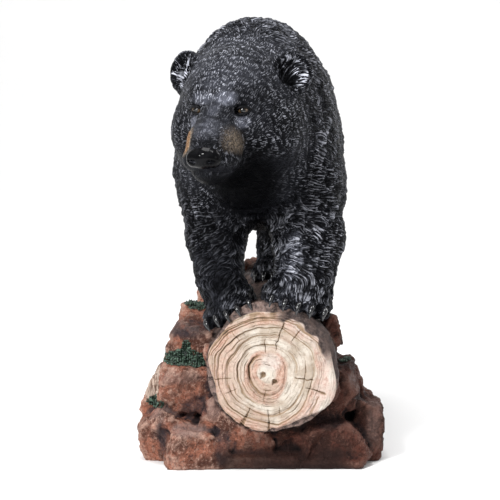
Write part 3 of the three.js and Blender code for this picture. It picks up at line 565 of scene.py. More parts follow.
# height, from 0 to 1, of one layer of tufts over the skin; each tuft follows the hair at its own root
def tuftLayer(points, normals, flow, tuft, seed):
    cell = np.floor(points / (tuft["width"] * 1.15))
    order = np.argsort(chance(np.arange(len(points)), seed))
    picked = order[np.unique(cell[order], axis=0, return_index=True)[1]]
    tree = kdtree.KDTree(len(picked))
    for n, root in enumerate(points[picked]):
        tree.insert(root, n)
    tree.balance()
    near = np.array([[hit[1] for hit in tree.find_n(p, 7)] for p in points])
    roots = picked[near]
    offset = points[:, None] - points[roots]
    side = np.cross(normals[roots], flow[roots])
    a = (offset * flow[roots]).sum(2) / tuft["length"]
    b = (offset * side).sum(2) / tuft["width"] + 0.5 * (chance(roots, seed + 1) - 0.5) * a * a
    out = (offset * normals[roots]).sum(2) / tuft["width"]
    reach = np.where(a > 0, 2.6, 1.0) * a * a + b * b + out * out
    best = reach.argmin(1)[:, None]
    a, b = np.take_along_axis(a, best, 1)[:, 0], np.take_along_axis(b, best, 1)[:, 0]
    return np.clip(0.55 + 1.1 * a, 0, 1) * np.clip(1.1 - 1.9 * b * b, 0, 1)


# the cups of the ears and, in them, the dark bottom
def earShare(points):
    cup, bottom = np.zeros(len(points)), np.zeros(len(points))
    for m in (-1, 1):
        root, ear = earPlace(m)
        cup = np.maximum(cup, area(points, along(root, ear, 0, 4, 1), (20, 11, 21), ear))
        bottom = np.maximum(bottom, area(points, along(root, ear, -4.5 * m, 0, -4), (8.5, 9, 10), ear))
    return cup, bottom


coat = {
    "paints": {  # a tan is a pair, its dark and its light
        "black": (0.0014, 0.0015, 0.002), "slate": (0.30, 0.315, 0.39),
        # grey strokes: dry-brushed grey that also stands in as painted glints on the ridges
        "dullStrokeGlint": (0.07, 0.071, 0.08), "brightStrokeGlint": (0.66, 0.68, 0.77),
        "mutedTan": ((0.06, 0.047, 0.037), (0.35, 0.275, 0.205)),
        "warmTan": ((0.09, 0.045, 0.022), (0.42, 0.24, 0.12)),
    },
    "slateAndSheen": (  # slate wash and painted sheen: place, half sizes, axes, how much, and how bright the strokes are there
        (onHead(6, 43, 1.5), (13, 18, 9), headAxes, 0.75, 1.0),  # brows
        (onHead(-10, 43, 1.5), (15, 18, 7.5), headAxes, 0.55, 0.8),
        (onHead(0, 46, -9), (9, 20, 13), headAxes, 0.4, 0.5),
        (onHead(0, 40, 11), (22, 18, 9), headAxes, 0.3, 0.7),
        (onHead(3, 30, 17), (36, 26, 26), headAxes, 0.2, 0.42),  # forehead
        (onHead(0, 62, -24), (15, 26, 15), headAxes, 0.30, 0.3),  # top of the muzzle
        (onHead(19, 47, -16), (9, 12, 6), headAxes, 0.5, 1.0),  # under the eyes
        (onHead(-19, 47, -17), (8, 12, 8), headAxes, 0.6, 0.8),
        ((24, -148, 160), (15, 28, 32), straight, 0.36, 0.72),  # left foreleg
        ((24, -158, 126), (24, 24, 14), straight, 0.24, 0.6),
        ((-22, -152, 122), (20, 20, 12), straight, 0.12, 0.8),
        ((4, -90, 334), (36, 40, 22), straight, 0.2, 0.5),
    ),
    "black": (  # place, half sizes, axes and how much of the paint is left off
        ((-11, -146, 214), (38, 60, 38), straight, 0.95),  # chest under the chin: black paint and painted shade
        (onHead(2, 54, -62), (32, 46, 15), headAxes, 0.85),  # chin: black paint and painted shade under it
        # painted shadow under the right side of the muzzle
        (onHead(20, 42, -46), (20, 26, 13), headAxes, 0.45),
        ((-2, -96, 170), (22, 44, 50), straight, 0.95),  # painted shade between the front legs
        (onHead(18, 44, -7.2), (7.4, 8, 3.6), headAxes, 0.97),
        (onHead(-18, 44, -7.2), (7.4, 8, 3.6), headAxes, 0.97),
        (onHead(0, 73, -30), (14, 12, 9), headAxes, 0.8),
    ),
}


# where the coat gets grey strokes (dry-brush and painted glints), slate (wash and painted sheen) or tan, and
# where it stays black, partly as painted shade
def coatPaint(points, normals):
    head = headShare(points)
    face = area(points, onHead(0, 62, -34), (30, 44, 36), headAxes)
    cup, bottom = earShare(points)
    high = ease(points[:, 2], 215, 320)
    brushAndGlint = 0.8 + 0.3 * lumps(points, 30, 8) + 0.2 * lumps(points, 11, 9) + 0.15 * high - 0.65 * face
    brushAndGlint -= 0.45 * area(points, onHead(0, 50, -12), (15, 24, 18), headAxes) * (1 - face)
    brushAndGlint -= 0.35 * ease(-points[:, 0], 0, 20) * (1 - ease(points[:, 2], 170, 215))
    # a little slate everywhere, and more on upward faces high on the body: painted sheen
    slateAndSheen = 0.05 + 0.05 * lumps(points, 22, 10) + 0.08 * high * ease(normals[:, 2], 0.1, 0.8)
    bright = 0.4 + 0.2 * lumps(points, 16, 12)
    for at, half, axes, amount, light in coat["slateAndSheen"]:
        near = area(points, at, half, axes)
        slateAndSheen = np.maximum(slateAndSheen, amount * near)
        bright = np.maximum(bright, light * near)
    for at, half, axes, amount in coat["black"]:
        near = 1 - amount * area(points, at, half, axes)
        brushAndGlint, slateAndSheen = brushAndGlint * near, slateAndSheen * near
    # fewer grey strokes on faces turned down: painted shade under the body and limbs
    brushAndGlint = np.maximum(brushAndGlint * ease(normals[:, 2], -0.8, -0.1), 1.2 * cup) * (1 - 0.95 * bottom)
    slateAndSheen, bright = slateAndSheen * (1 - cup) + 0.08 * cup * (1 - bottom), np.maximum(bright, 1.1 * cup)
    left = area(points, onHead(-15, 63, -32), (10, 19, 15), headAxes)
    right = area(points, onHead(11.5, 57, -32), (13, 22, 17), headAxes)
    return {"brushAndGlint": np.clip(brushAndGlint, 0, 1.2), "slateAndSheen": np.clip(slateAndSheen, 0, 1), "bright": np.clip(bright, 0, 1.1),
            "tan": np.maximum(right, 2 * left), "short": face, "head": head * (1 - cup)}


def coatFinish():
    finish, paints = Finish("bearCoat", Roughness=0.4, IOR=1.25, Specular_IOR_Level=0.1), coat["paints"]
    flow, across = finish.read("flow", "Vector"), finish.read("across", "Vector")
    layers = []
    for cell, long, thin, curl, comb in bear["strokes"]:
        group = finish.add("ShaderNodeTexVoronoi", {}, {"Vector": finish.place, "Scale": 1 / cell}).node
        offset = finish.vector("SUBTRACT", finish.place, group.outputs["Position"])
        a = finish.vector("DOT_PRODUCT", offset, flow, "Value")
        b = finish.vector("DOT_PRODUCT", offset, across, "Value")
        draw = finish.add("ShaderNodeSeparateColor", {}, {"Color": group.outputs["Color"]}, 0)
        b = finish.plus(b, finish.times(finish.times(a, a), finish.ramp(draw, 0.0, 1.0, -curl, curl)))
        lengthwise, sideways = finish.maths("DIVIDE", a, long), finish.maths("DIVIDE", b, thin)
        spot = finish.add("ShaderNodeCombineXYZ", {}, {
            "X": lengthwise, "Y": sideways, "Z": finish.times(draw, 40.0)})
        tip = finish.ramp(a, -cell * 0.5, cell * 0.35, -0.09, 0.05)
        wave = finish.maths("COSINE", finish.times(b, 2 * math.pi / 2.7))  # a comb's teeth are 2.7 mm apart
        tip = finish.plus(tip, finish.times(wave, comb))
        layers.append(finish.plus(finish.noise(1.0, 1.5, spot), tip))
    head = finish.read("head")
    streak = finish.maths("MAXIMUM", finish.maths("SUBTRACT", layers[0], finish.ramp(head, 0.2, 0.8, 0.0, 0.3)),
                          finish.maths("SUBTRACT", layers[1], finish.ramp(head, 0.2, 0.8, 0.06, 0.0)))
    tuft = finish.ramp(finish.read("tuft"), 0.12, 0.7, 0.1, 1.0)
    tuft = finish.maths("MAXIMUM", tuft, finish.times(head, 0.8))
    patchy = finish.ramp(finish.noise(9, 3.0), 0.36, 0.6, 0.45, 1.1)
    brushAndGlint = finish.times(finish.times(finish.read("brushAndGlint"), tuft), patchy)
    floor = finish.ramp(head, 0.2, 0.8, 0.08, 0.55)  # how much slate wash and painted sheen there is between the strokes
    gap = finish.times(finish.ramp(streak, 0.40, 0.58, floor, 1.0), tuft)
    cloud = finish.ramp(finish.noise(6, 3.0), 0.3, 0.7, 0.6, 1.15)
    finish.colour = paints["black"]
    # slate wash and painted sheen between the strokes
    finish.lay(finish.times(finish.times(finish.read("slateAndSheen"), gap), cloud), paints["slate"])
    grey = finish.mix(finish.read("bright"), paints["dullStrokeGlint"], paints["brightStrokeGlint"])
    # grey strokes on the ridges: dry-brush and painted glints
    finish.lay(finish.times(finish.ramp(streak, 0.565, 0.65), brushAndGlint, True), grey)
    fleck = finish.ramp(finish.noise(1.3, 3.0), 0.36, 0.66)
    tan = finish.read("tan")
    muted, warm = finish.mix(fleck, *paints["mutedTan"]), finish.mix(fleck, *paints["warmTan"])
    finish.lay(finish.ramp(tan, 0.0, 1.1, 0.0, 0.85), finish.mix(finish.ramp(tan, 1.0, 1.4), muted, warm))
    finish.set("Base Color", finish.colour)
    finish.set("Roughness", finish.ramp(streak, 0.4, 0.65, 0.32, 0.45))
    depth = finish.ramp(finish.read("short"), 0.0, 1.0, 1.0, 0.4)
    finish.bump(finish.times(finish.ramp(streak, 0.36, 0.64), depth), 0.8)
    return finish.material


def buildBear():
    low, high, waist = bear["low"], bear["high"], bear["waist"]
    xs, zs = (np.arange(low[n], high[n], bear["step"]) for n in (0, 2))
    front, rear = np.arange(low[1], waist, bear["step"]), np.arange(waist, high[1], bear["rearStep"])
    clay = newClay([xs, np.concatenate([front, rear]), zs])
    sculptTrunkAndLegs(clay)
    raiseLocks(clay)
    sculptHead(clay)
    sculptPaws(clay)
    points, faces = skinOf(clay)
    print("bear skin", len(points), "points", 2 * len(faces), "triangles")
    normals = normalsOf(relaxed(points, faces, 3), faces)
    flow = hairFlow(points, normals)
    head = headShare(points) * (1 - earShare(points)[0])
    smooth = areas(points, (
        (onHead(0, 78, -40), (17, 16, 15)), (onHead(17.8, 44, -7.4), (10, 9, 7)),
        (onHead(-17.8, 44, -7.4), (10, 9, 7)), (onHead(0, 62, -44), (24, 34, 24))), headAxes)
    height = np.zeros(len(points))
    for n, tuft in enumerate(bear["tufts"]):
        layer = tuftLayer(points, normals, flow, tuft, 20 + 5 * n)
        rise = tuft["height"] * (layer - 0.45) * (1 - smooth) * (1 - tuft["onHead"] * head)
        points = points + normals * rise[:, None]
        height = height + layer * tuft["share"]
    across = np.cross(normals, flow)
    paint = coatPaint(points, normals)
    points[:, 2] = np.minimum(points[:, 2], cadBox[1][2] / mm)
    return newPiece("bearCoat", points, faces, coatFinish(), "bear_coat", {
        "flow": flow, "across": across, "tuft": height, **paint})


bearCoat = buildBear()
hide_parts("bear")
print("bear done")


# the nose: the same forms as on the head, in finer clay
nose = {
    "middle": (0, 77, -38), "reach": 19, "step": 0.6, "grown": 0.15,
    "pore": 1.3, "paints": ((0.002, 0.002, 0.0025), (0.006, 0.006, 0.007)),
}


def noseFinish():
    finish = Finish("noseGloss", Roughness=0.07, IOR=1.25, Specular_IOR_Level=0.3)
    pores = finish.add("ShaderNodeTexVoronoi", {}, {
        "Vector": finish.place, "Scale": 1 / nose["pore"]}, "Distance")
    finish.set("Base Color", finish.mix(finish.ramp(finish.noise(5), 0.35, 0.7), *nose["paints"]))
    finish.bump(finish.ramp(pores, 0.1, 0.6), 0.01)
    return finish.material


def buildNose():
    reach = nose["reach"]
    clay = newClay([np.arange(c - reach, c + reach, nose["step"]) for c in onHead(*nose["middle"])])
    sculptNose(clay, nose["grown"])
    points, faces = skinOf(clay)
    newPiece("nose", relaxed(points, faces, 2, 0.4), faces, noseFinish(), "bear_coat")


buildNose()


# a ball as a mesh, in rings round the given axes
def ballMesh(centre, half, axes, rings, sides):
    points = []
    for r in range(rings + 1):
        tilt = math.pi * r / rings
        for s in range(sides):
            turn = 2 * math.pi * s / sides
            ring = math.sin(tilt)
            local = np.array([ring * math.cos(turn), math.cos(tilt), ring * math.sin(turn)]) * half
            points.append(np.asarray(centre, float) + local @ axes)
    return np.array(points), ringFaces(rings + 1, sides)


def eyeFinish():
    finish = Finish("eyeGloss", Roughness=0.1, IOR=1.35, Coat_Weight=1.0, Coat_Roughness=0.05)
    look = finish.read("look")
    iris = finish.mix(finish.noise(1.1, 2.0), *eyes["iris"])
    colour = finish.mix(finish.ramp(look, 0.70, 0.78), eyes["rim"], iris)
    finish.set("Base Color", finish.mix(finish.ramp(look, 0.90, 0.93), colour, eyes["pupil"]))
    finish.set("Roughness", finish.ramp(look, 0.6, 0.9, 0.2, 0.08))
    finish.bump(finish.noise(3.0, 1.0), 0.01)
    return finish.material


def buildEyes():
    balls, look = [], []
    for m in (-1, 1):
        centre = onHead(*eyes["at"] * (m, 1, 1))
        balls.append(ballMesh(centre, np.array(eyes["shape"]) * eyes["radius"], headAxes, 24, 36))
        gaze = unit(np.array([eyes["gaze"]]) * (m, 1, 1))[0] @ headAxes
        look.append(unit(balls[-1][0] - centre) @ gaze)
    newPiece("eyes", *joined(balls), eyeFinish(), "bear_coat", {"look": np.concatenate(look)})


buildEyes()


# a round bar through a few points, each with its own radius
def bar(line, radii, sides, rings):
    line = np.asarray(line, float)
    t = np.linspace(0, 1, rings)[:, None]
    path = (1 - t) ** 2 * line[0] + 2 * t * (1 - t) * (2 * line[1] - (line[0] + line[2]) / 2) + t * t * line[2]
    ahead = unit(np.gradient(path, axis=0))
    side = unit(np.cross(ahead, (0.31, 0.2, 1.0)))
    up = np.cross(side, ahead)
    size = np.interp(t[:, 0], np.linspace(0, 1, len(radii)), radii)
    turn = 2 * np.pi * np.arange(sides) / sides
    loops = path[:, None] + size[:, None, None] * (
        side[:, None] * np.cos(turn)[None, :, None] + up[:, None] * np.sin(turn)[None, :, None])
    points = np.concatenate([loops.reshape(-1, 3), path[-1:] + ahead[-1:] * radii[-1]])
    last, tip = (rings - 1) * sides, len(points) - 1
    cap = [(last + s, last + (s + 1) % sides, tip, tip) for s in range(sides)]
    return points, np.concatenate([ringFaces(rings, sides), cap])


def lidFinish():
    finish = Finish("lidSkin", Roughness=0.4, Specular_IOR_Level=0.12)
    finish.set("Base Color", finish.mix(finish.noise(1.5, 2.0), *eyes["lidPaints"]))
    finish.bump(finish.noise(0.9, 2.0), 0.25)
    return finish.material


def buildLids():
    bars = [bar([onHead(*(eyes["at"] + spot) * (m, 1, 1)) for spot in line], radii, 10, 17)
            for m in (-1, 1) for *line, radii in eyes["lids"]]
    newPiece("eyelids", *joined(bars), lidFinish(), "bear_coat")


buildLids()


claws = {"radii": (2.8, 2.6, 2.2, 1.6, 0.6), "paints": ((0.003, 0.003, 0.004), (0.016, 0.017, 0.02))}


def clawFinish():
    finish = Finish("clawGloss", Roughness=0.2, Specular_IOR_Level=0.8)
    grain = finish.noise(1.2, 2.0)
    finish.set("Base Color", finish.mix(finish.ramp(grain, 0.4, 0.7), *claws["paints"]))
    finish.bump(grain, 0.05)
    return finish.material


def buildClaws():
    bars = [bar(line, claws["radii"], 10, 9) for place in pawPlaces() for root, tip, line in toesOf(*place)]
    newPiece("claws", *joined(bars), clawFinish(), "bear_coat")


buildClaws()
print("nose, eyes and claws done")


heap = {
    "stones": {  # each is a pair: painted shade at the right of the heap and painted light at its left
        "red": ((0.107, 0.038, 0.027), (0.43, 0.17, 0.108)),
        "brown": ((0.04, 0.019, 0.015), (0.10, 0.042, 0.03)),
        "worn": ((0.17, 0.08, 0.06), (0.58, 0.36, 0.28)),
        "paintedGlint": ((0.22, 0.12, 0.095), (0.70, 0.50, 0.41)),
        "dark": ((0.016, 0.011, 0.012), (0.036, 0.034, 0.042)),
    },
    "paints": {
        "skirt": (0.027, 0.014, 0.012), "hollow": (0.006, 0.005, 0.005), "pale": (0.36, 0.24, 0.21),
        "wood": ((0.20, 0.12, 0.085), (0.68, 0.53, 0.44)), "moss": (0.012, 0.024, 0.015),
    },
    "voxel": 1.8, "round": 4, "chip": 3.0, "flake": 2.2, "grain": 0.8,
    "moss": (  # place and half sizes
        ((-55, -66, 113), (11, 18, 7)), ((-57, -124, 77), (21, 24, 9)), ((-58, -128, 86), (4.5, 10, 7)),
        ((-78, -118, 43), (13, 24, 6)), ((63, -112, 80), (9, 18, 7)),
    ),
    "wood": (((-84, -116, 56), (10, 24, 18)),),
    "washAndShadeAreas": (  # dark paint, and painted shade in recesses and under the log
        ((-46, -142, 43), (20, 26, 14)), ((-58, -112, 99), (26, 40, 9)), ((-28, -150, 22), (12, 20, 14)),
        ((52, -150, 34), (18, 20, 8)), ((66, -118, 74), (14, 24, 8)),
        ((-74, -152, 22), (6, 24, 20)), ((-26, -166, 14), (8, 16, 18)), ((34, -158, 0), (60, 22, 6)),
    ),
    "paintedHighlights": (  # painted highlight in pale paint on tops and edges, and how much
        ((-52, -160, 28), (18, 20, 7), 1.0), ((-33, -158, 46), (8, 12, 14), 0.8),
        ((-76, -138, 37), (14, 18, 7), 0.8), ((87, -124, 28), (8, 24, 28), 0.35),
        ((-60, -150, 66), (24, 10, 7), 0.4), ((72, -130, 62), (12, 20, 8), 0.35),
    ),
    "folds": (  # places along the fold, half width, height: a groove has a height under 0
        ((34, -164, 6), (54, -160, 27), (78, -106, 46), 8, -5.0),
        ((31, -152, 20), (47, -150, 36), (62, -150, 60), 8, 3.5),
        ((-68, -176, 2), (-68, -168, 20), (-72, -152, 28), 6, -4.0),
        ((-27, -170, 2), (-29, -168, 18), (-36, -158, 31), 7, -3.5),
        ((-40, -170, 24), (-38, -170, 18), (-46, -174, 5), 5, 1.8),
        ((-33, -158, 54), (-34, -160, 44), (-36, -158, 30), 7, 2.0),
        ((2, -162, 24), (8, -158, 18), (16, -156, 14), 6, 1.5),
        ((80, -140, 42), (78, -146, 24), (80, -150, 4), 5, -3.0),
    ),
}


# how near to a line through a few places, from 1 on it to 0 at its half width
def nearLine(points, line, width):
    nearest = np.full(len(points), 1e9)
    for a, b in zip(line, line[1:]):
        a, run = np.array(a, float), np.subtract(b, a)
        t = np.clip((points - a) @ run / (run @ run), 0, 1)
        nearest = np.minimum(nearest, np.linalg.norm(points - a - t[:, None] * run, axis=1))
    return 1 - ease(nearest, 0, width)


def logShare(points):
    away = np.hypot(points[:, 0] - logX(points[:, 1]), points[:, 2] - log["height"])
    return 1 - ease(away - logRadius(points[:, 1]), 1.6, 3.2)


# the bark's colour, drawn out along the log, in patches of two sizes
def barkPaint(finish, big, small):
    lengthwise = finish.vector("MULTIPLY", finish.place, (1.0, 0.16, 1.0))
    furrows = finish.ramp(finish.noise(big, 4.0, lengthwise), 0.38, 0.6)
    ridges = finish.ramp(finish.noise(small, 4.0, lengthwise), 0.52, 0.72, 0.0, 0.7)
    return finish.mix(ridges, finish.mix(furrows, log["furrow"], log["bark"]), log["ridge"])


def heapFinish():
    finish, paints = Finish("paintedRock", Roughness=0.5, IOR=1.3, Specular_IOR_Level=0.25), heap["paints"]
    patch, middle = finish.noise(24, 4.0), finish.noise(8, 4.0, roughness=0.6)
    fine, tiny = finish.noise(2.8, 5.0, roughness=0.68), finish.noise(1.25, 3.0)
    left, edge, hollow = (finish.read(name) for name in ("left", "edge", "hollow"))
    # each paint runs from its painted-shade copy at the right to its painted-light copy at the left
    red, brown, worn, paintedGlint, dark = (finish.mix(left, *pair) for pair in heap["stones"].values())
    finish.colour = finish.mix(finish.ramp(patch, 0.38, 0.60), brown, red)
    finish.lay(finish.ramp(middle, 0.5, 0.62, 0.0, 0.8), brown)
    finish.lay(finish.ramp(fine, 0.52, 0.68, 0.0, 0.65), worn)
    finish.lay(finish.ramp(fine, 0.34, 0.46, 0.75, 0.0), brown)
    finish.lay(finish.ramp(tiny, 0.36, 0.43, 0.8, 0.0), brown)
    # painted highlight along the sharp edges
    edgeHighlight = finish.times(finish.ramp(edge, 0.1, 0.9), finish.ramp(middle, 0.35, 0.6))
    finish.lay(finish.times(edgeHighlight, 0.7), worn)
    # painted glints: small pale specks, more of them on the sharp edges
    glintSpots = finish.plus(tiny, finish.ramp(edge, 0.0, 0.9, -0.02, 0.09))
    finish.lay(finish.ramp(glintSpots, 0.64, 0.72, 0.0, 0.5), paintedGlint)
    bent = finish.vector("ADD", finish.place, finish.vector("MULTIPLY", finish.noise(4, 2.0), (9, 9, 9)))
    scratch = finish.add("ShaderNodeTexVoronoi", {"feature": "DISTANCE_TO_EDGE"}, {
        "Vector": bent, "Scale": 1 / 7})
    lines = finish.times(finish.ramp(scratch, 0.0, 0.05, 1.0, 0.0), finish.ramp(middle, 0.45, 0.6))
    finish.lay(finish.times(lines, 0.5), worn)
    # dark wash, and painted shade in recesses and under the log
    washAndShade = finish.times(finish.read("washAndShade"), finish.ramp(middle, 0.3, 0.6, 0.55, 1.0))
    # painted shade in the hollows
    washAndShade = finish.maths("MAXIMUM", finish.ramp(hollow, 0.1, 0.8), washAndShade)
    finish.lay(finish.times(washAndShade, 0.85), dark)
    finish.lay(finish.times(finish.read("skirt"), 0.85), paints["skirt"])
    # near-black painted shade in the deepest hollows
    finish.lay(finish.ramp(hollow, 0.6, 1.3, 0.0, 0.95), paints["hollow"])
    # painted highlight on the lit tops and edges
    pale = finish.times(finish.read("pale"), finish.ramp(fine, 0.25, 0.6, 0.4, 1.0))
    finish.lay(finish.times(pale, 0.75), paints["pale"])
    finish.lay(finish.read("bark"), barkPaint(finish, 5, 2))
    grain = finish.noise(1.4, 3.0, finish.vector("MULTIPLY", finish.place, (1.0, 0.35, 0.14)))
    finish.lay(finish.read("wood"), finish.mix(finish.ramp(grain, 0.36, 0.6), *paints["wood"]))
    mossy = finish.times(finish.ramp(finish.read("moss"), 0.05, 0.4), finish.ramp(middle, 0.3, 0.5))
    finish.lay(mossy, paints["moss"])
    finish.set("Base Color", finish.colour)
    finish.set("Roughness", finish.ramp(fine, 0.3, 0.8, 0.6, 0.3))
    relief = finish.plus(finish.times(fine, 1.6), finish.times(finish.noise(0.8, 2.0), 0.4))
    finish.bump(finish.plus(relief, finish.times(finish.ramp(scratch, 0.0, 0.06), 0.35)), 2.0)
    return finish.material


def buildHeap():
    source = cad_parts["log_and_rock_base"]
    work = source.copy()
    work.data = source.data.copy()
    bpy.context.scene.collection.objects.link(work)
    remesh = work.modifiers.new("even", "REMESH")
    remesh.mode = "VOXEL"
    remesh.voxel_size = heap["voxel"] * mm
    shape = work.evaluated_get(bpy.context.evaluated_depsgraph_get()).data
    points = np.array([v.co for v in shape.vertices]) / mm
    faces = np.array([tuple(p.vertices) for p in shape.polygons])
    bpy.data.objects.remove(work)
    print("heap", len(points), "points", 2 * len(faces), "triangles")
    foot = points[:, 2] < 0.6
    rounded = relaxed(points, faces, heap["round"])
    normals = normalsOf(rounded, faces)
    onLog = logShare(rounded)
    wide = relaxed(rounded, faces, 30)
    bend = ((wide - rounded) * normals).sum(1)
    warped = rounded + 2.0 * lumps(rounded, 7, 30)[:, None]
    rough = heap["chip"] * chips(warped, 12, 31) + heap["flake"] * chips(warped, 5.5, 32) + heap["grain"] * (
        lumps(rounded, 4.2, 33) + 0.6 * lumps(rounded, 2.1, 34)) + 0.8 * lumps(rounded, 16, 35)
    angle = np.arctan2(rounded[:, 2] - log["height"], rounded[:, 0] - logX(rounded[:, 1]))
    barkPlace = np.stack([angle * log["radius"], rounded[:, 1] * 0.16, 0 * angle], 1)
    furrow = 0.8 * lumps(barkPlace, 5.5, 36) + 0.35 * lumps(barkPlace, 2.4, 37)
    across, back, up = rounded.T
    skirt = (1 - ease(up, 9, 22)) * ease(across, -34, -24) * (1 - ease(across, 60, 76)) * (back < -90)
    rise = rough * (1 - 0.7 * skirt) * (1 - onLog) + furrow * onLog
    for *line, width, height in heap["folds"]:
        rise += height * nearLine(rounded, line, width) * (1 - onLog)
    shaped = rounded + normals * rise[:, None]
    face = ease(-shaped[:, 1], -log["front"] - 8, -log["front"] - 5) * (
        np.hypot(shaped[:, 0] - log["axisX"], shaped[:, 2] - log["height"]) < log["radius"] + 1.5)
    shaped[:, 1] += face * np.maximum(0, log["front"] + 9 - shaped[:, 1])
    shaped[foot] = rounded[foot]
    shaped[:, 2] = np.where(foot, 0, np.maximum(shaped[:, 2], 0.3))
    shaped = np.clip(shaped, np.array(cadBox[0]) / mm, np.array(cadBox[1]) / mm)
    inner = relaxed(shaped, faces, 6)
    fineBend = ((inner - shaped) * normals).sum(1)
    moss = areas(shaped, heap["moss"])
    paint = {
        # how hollow each place is, for painted shade
        "hollow": np.clip(0.45 * bend + 0.5 * fineBend, 0, 2),
        "edge": np.clip(-0.5 * bend - 0.6 * fineBend, 0, 1.5),
        "bark": onLog * (rounded[:, 2] > 30), "wood": ease(areas(shaped, heap["wood"]), 0.1, 0.3),
        "washAndShade": areas(shaped, heap["washAndShadeAreas"]), "pale": areas(shaped, heap["paintedHighlights"]),
        "skirt": skirt, "moss": moss,
        # where the painted light at the left gives way to the painted shade at the right
        "left": 1 - ease(shaped[:, 0] + 6 * lumps(shaped, 20, 38), -28, 22),
    }
    return newPiece("logAndRocks", shaped, faces, heapFinish(), "painted_rock", paint), shaped, normals, moss


heapPiece, heapPoints, heapNormals, heapMoss = buildHeap()
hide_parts("log_and_rock_base")
print("log and rocks done")


# the sawn end of the log: a fine disc of rings with its splits, and the bark's lip behind it
sawn = {
    "loops": 170, "sides": 440, "lip": 12, "lipLoops": 16, "proud": 0.5, "flake": 1.1, "line": 0.55,
    "middle": (7, 71), "dome": 15.5, "groove": 1.8,  # the rings' middle and the low dome round it
    "steps": ((44.5, 0.8), (37, 2.2), (31, 3.6), (23, 5.0)),  # distance from the middle and depth there
    "fineRings": ((3.1, 45, 0.9), (1.7, 46, 0.7)),  # spacing, draw and depth
    "splits": (  # angle, inner and outer distance from the middle, width, depth
        (73, 20, 42, 0.3, 2.4), (55, 32, 42, 0.3, 2.0), (-116, 28, 50, 5.0, 3.0), (-88, 26, 47, 0.8, 3.0),
        (-70, 26, 34, 0.1, 1.5), (-17, 31, 45, 1.0, 3.0), (184, 27, 41, 0.1, 1.6), (203, 25, 34, 0.1, 1.2),
        (-5, 21, 34, 0.4, 2.0), (128, 33, 44, 0.1, 1.0), (92, 17, 26, 0.2, 1.5), (-95, 10, 20, 0.2, 1.2),
    ),
    "knots": ((3.5, 71, 2.4), (13, 66, 2.0)),  # place and radius
    "paints": {
        "wood": ((0.49, 0.405, 0.325), (0.68, 0.61, 0.53)), "pink": ((0.46, 0.26, 0.19), (0.66, 0.47, 0.38)),
        "white": (0.88, 0.86, 0.84), "ochre": (0.30, 0.195, 0.105),
        "dirtAndShade": (0.075, 0.045, 0.028), "shade": (0.035, 0.025, 0.024),
    },
}


def sawnFinish():
    finish, paints = Finish("sawnWood", Roughness=0.55, Specular_IOR_Level=0.3), sawn["paints"]
    fine, cloud = finish.noise(2.2, 5.0, roughness=0.68), finish.noise(11, 3.0)
    finish.colour = finish.mix(finish.ramp(cloud, 0.38, 0.62), *paints["wood"])
    pink = finish.mix(finish.ramp(fine, 0.35, 0.65), *paints["pink"])
    finish.lay(finish.times(finish.read("pink"), finish.ramp(cloud, 0.35, 0.6, 0.4, 1.0)), pink)
    finish.lay(finish.times(finish.read("white"), finish.ramp(fine, 0.35, 0.6, 0.5, 1.0)), paints["white"])
    finish.lay(finish.ramp(fine, 0.52, 0.74, 0.0, 0.45), paints["ochre"])
    dirtAndShade = finish.read("dirtAndShade")
    # dark lines: dirt, and painted shade in the steps, the groove and the splits
    finish.lay(finish.ramp(dirtAndShade, 0.1, 0.7, 0.0, 0.8), paints["ochre"])
    finish.lay(finish.ramp(dirtAndShade, 0.6, 1.5, 0.0, 0.95), paints["dirtAndShade"])
    shade = finish.ramp(finish.read("shade"), 0.0, 1.0, 0.0, 0.8)
    finish.lay(finish.read("bark"), finish.mix(shade, barkPaint(finish, 4, 1.8), paints["shade"]))
    finish.set("Base Color", finish.colour)
    finish.bump(finish.plus(finish.times(fine, 1.5), finish.times(finish.noise(0.7, 2.0), 0.4)), 0.7)
    return finish.material


# how open a split is at a place on the sawn end, 0 to 1
def splitAt(dx, dz, wander, degrees, inner, outer, width):
    a = math.radians(degrees)
    lengthwise = dx * math.cos(a) + dz * math.sin(a)
    sideways = np.abs(-dx * math.sin(a) + dz * math.cos(a) + wander)
    inside = ease(lengthwise, inner - 1, inner + 1) * (1 - ease(lengthwise, outer, outer + 2.5))
    half = 0.14 + width * ease(lengthwise, inner, outer) / 2
    return inside * (1 - ease(sideways, half * 0.7, half * 1.1 + 0.15))


# places on a circle, for lumps that close round a ring
def circle(angle, radius, third):
    return np.stack([radius * np.cos(angle), radius * np.sin(angle), 0 * angle + third], 1)


# the bark's outline and, inside it, the chipped rim of the wood
def sawnRim(turn):
    start = log["front"]
    wave = np.cos(3 * turn + 0.8) + 0.7 * np.cos(5 * turn + start / 45) + 0.5 * np.cos(8 * turn - start / 20)
    facet = 1.6 * np.cos(4 * (turn - 0.35)) + 0.8 * np.cos(7 * turn + 1.0)  # the rim's straight bits
    top = np.exp(-((turn - math.radians(100)) / math.radians(30)) ** 4)
    rimPlace = circle(turn, 40, 0)
    chipped = 1.6 * np.maximum(0, lumps(rimPlace, 5, 40)) - 0.7 * lumps(rimPlace, 11, 41) + 0.8
    chipped += facet * (1 - top) + 5.5 * top
    outline = log["radius"] * (1 + 0.022 * wave)
    return outline, outline + 0.3 - chipped


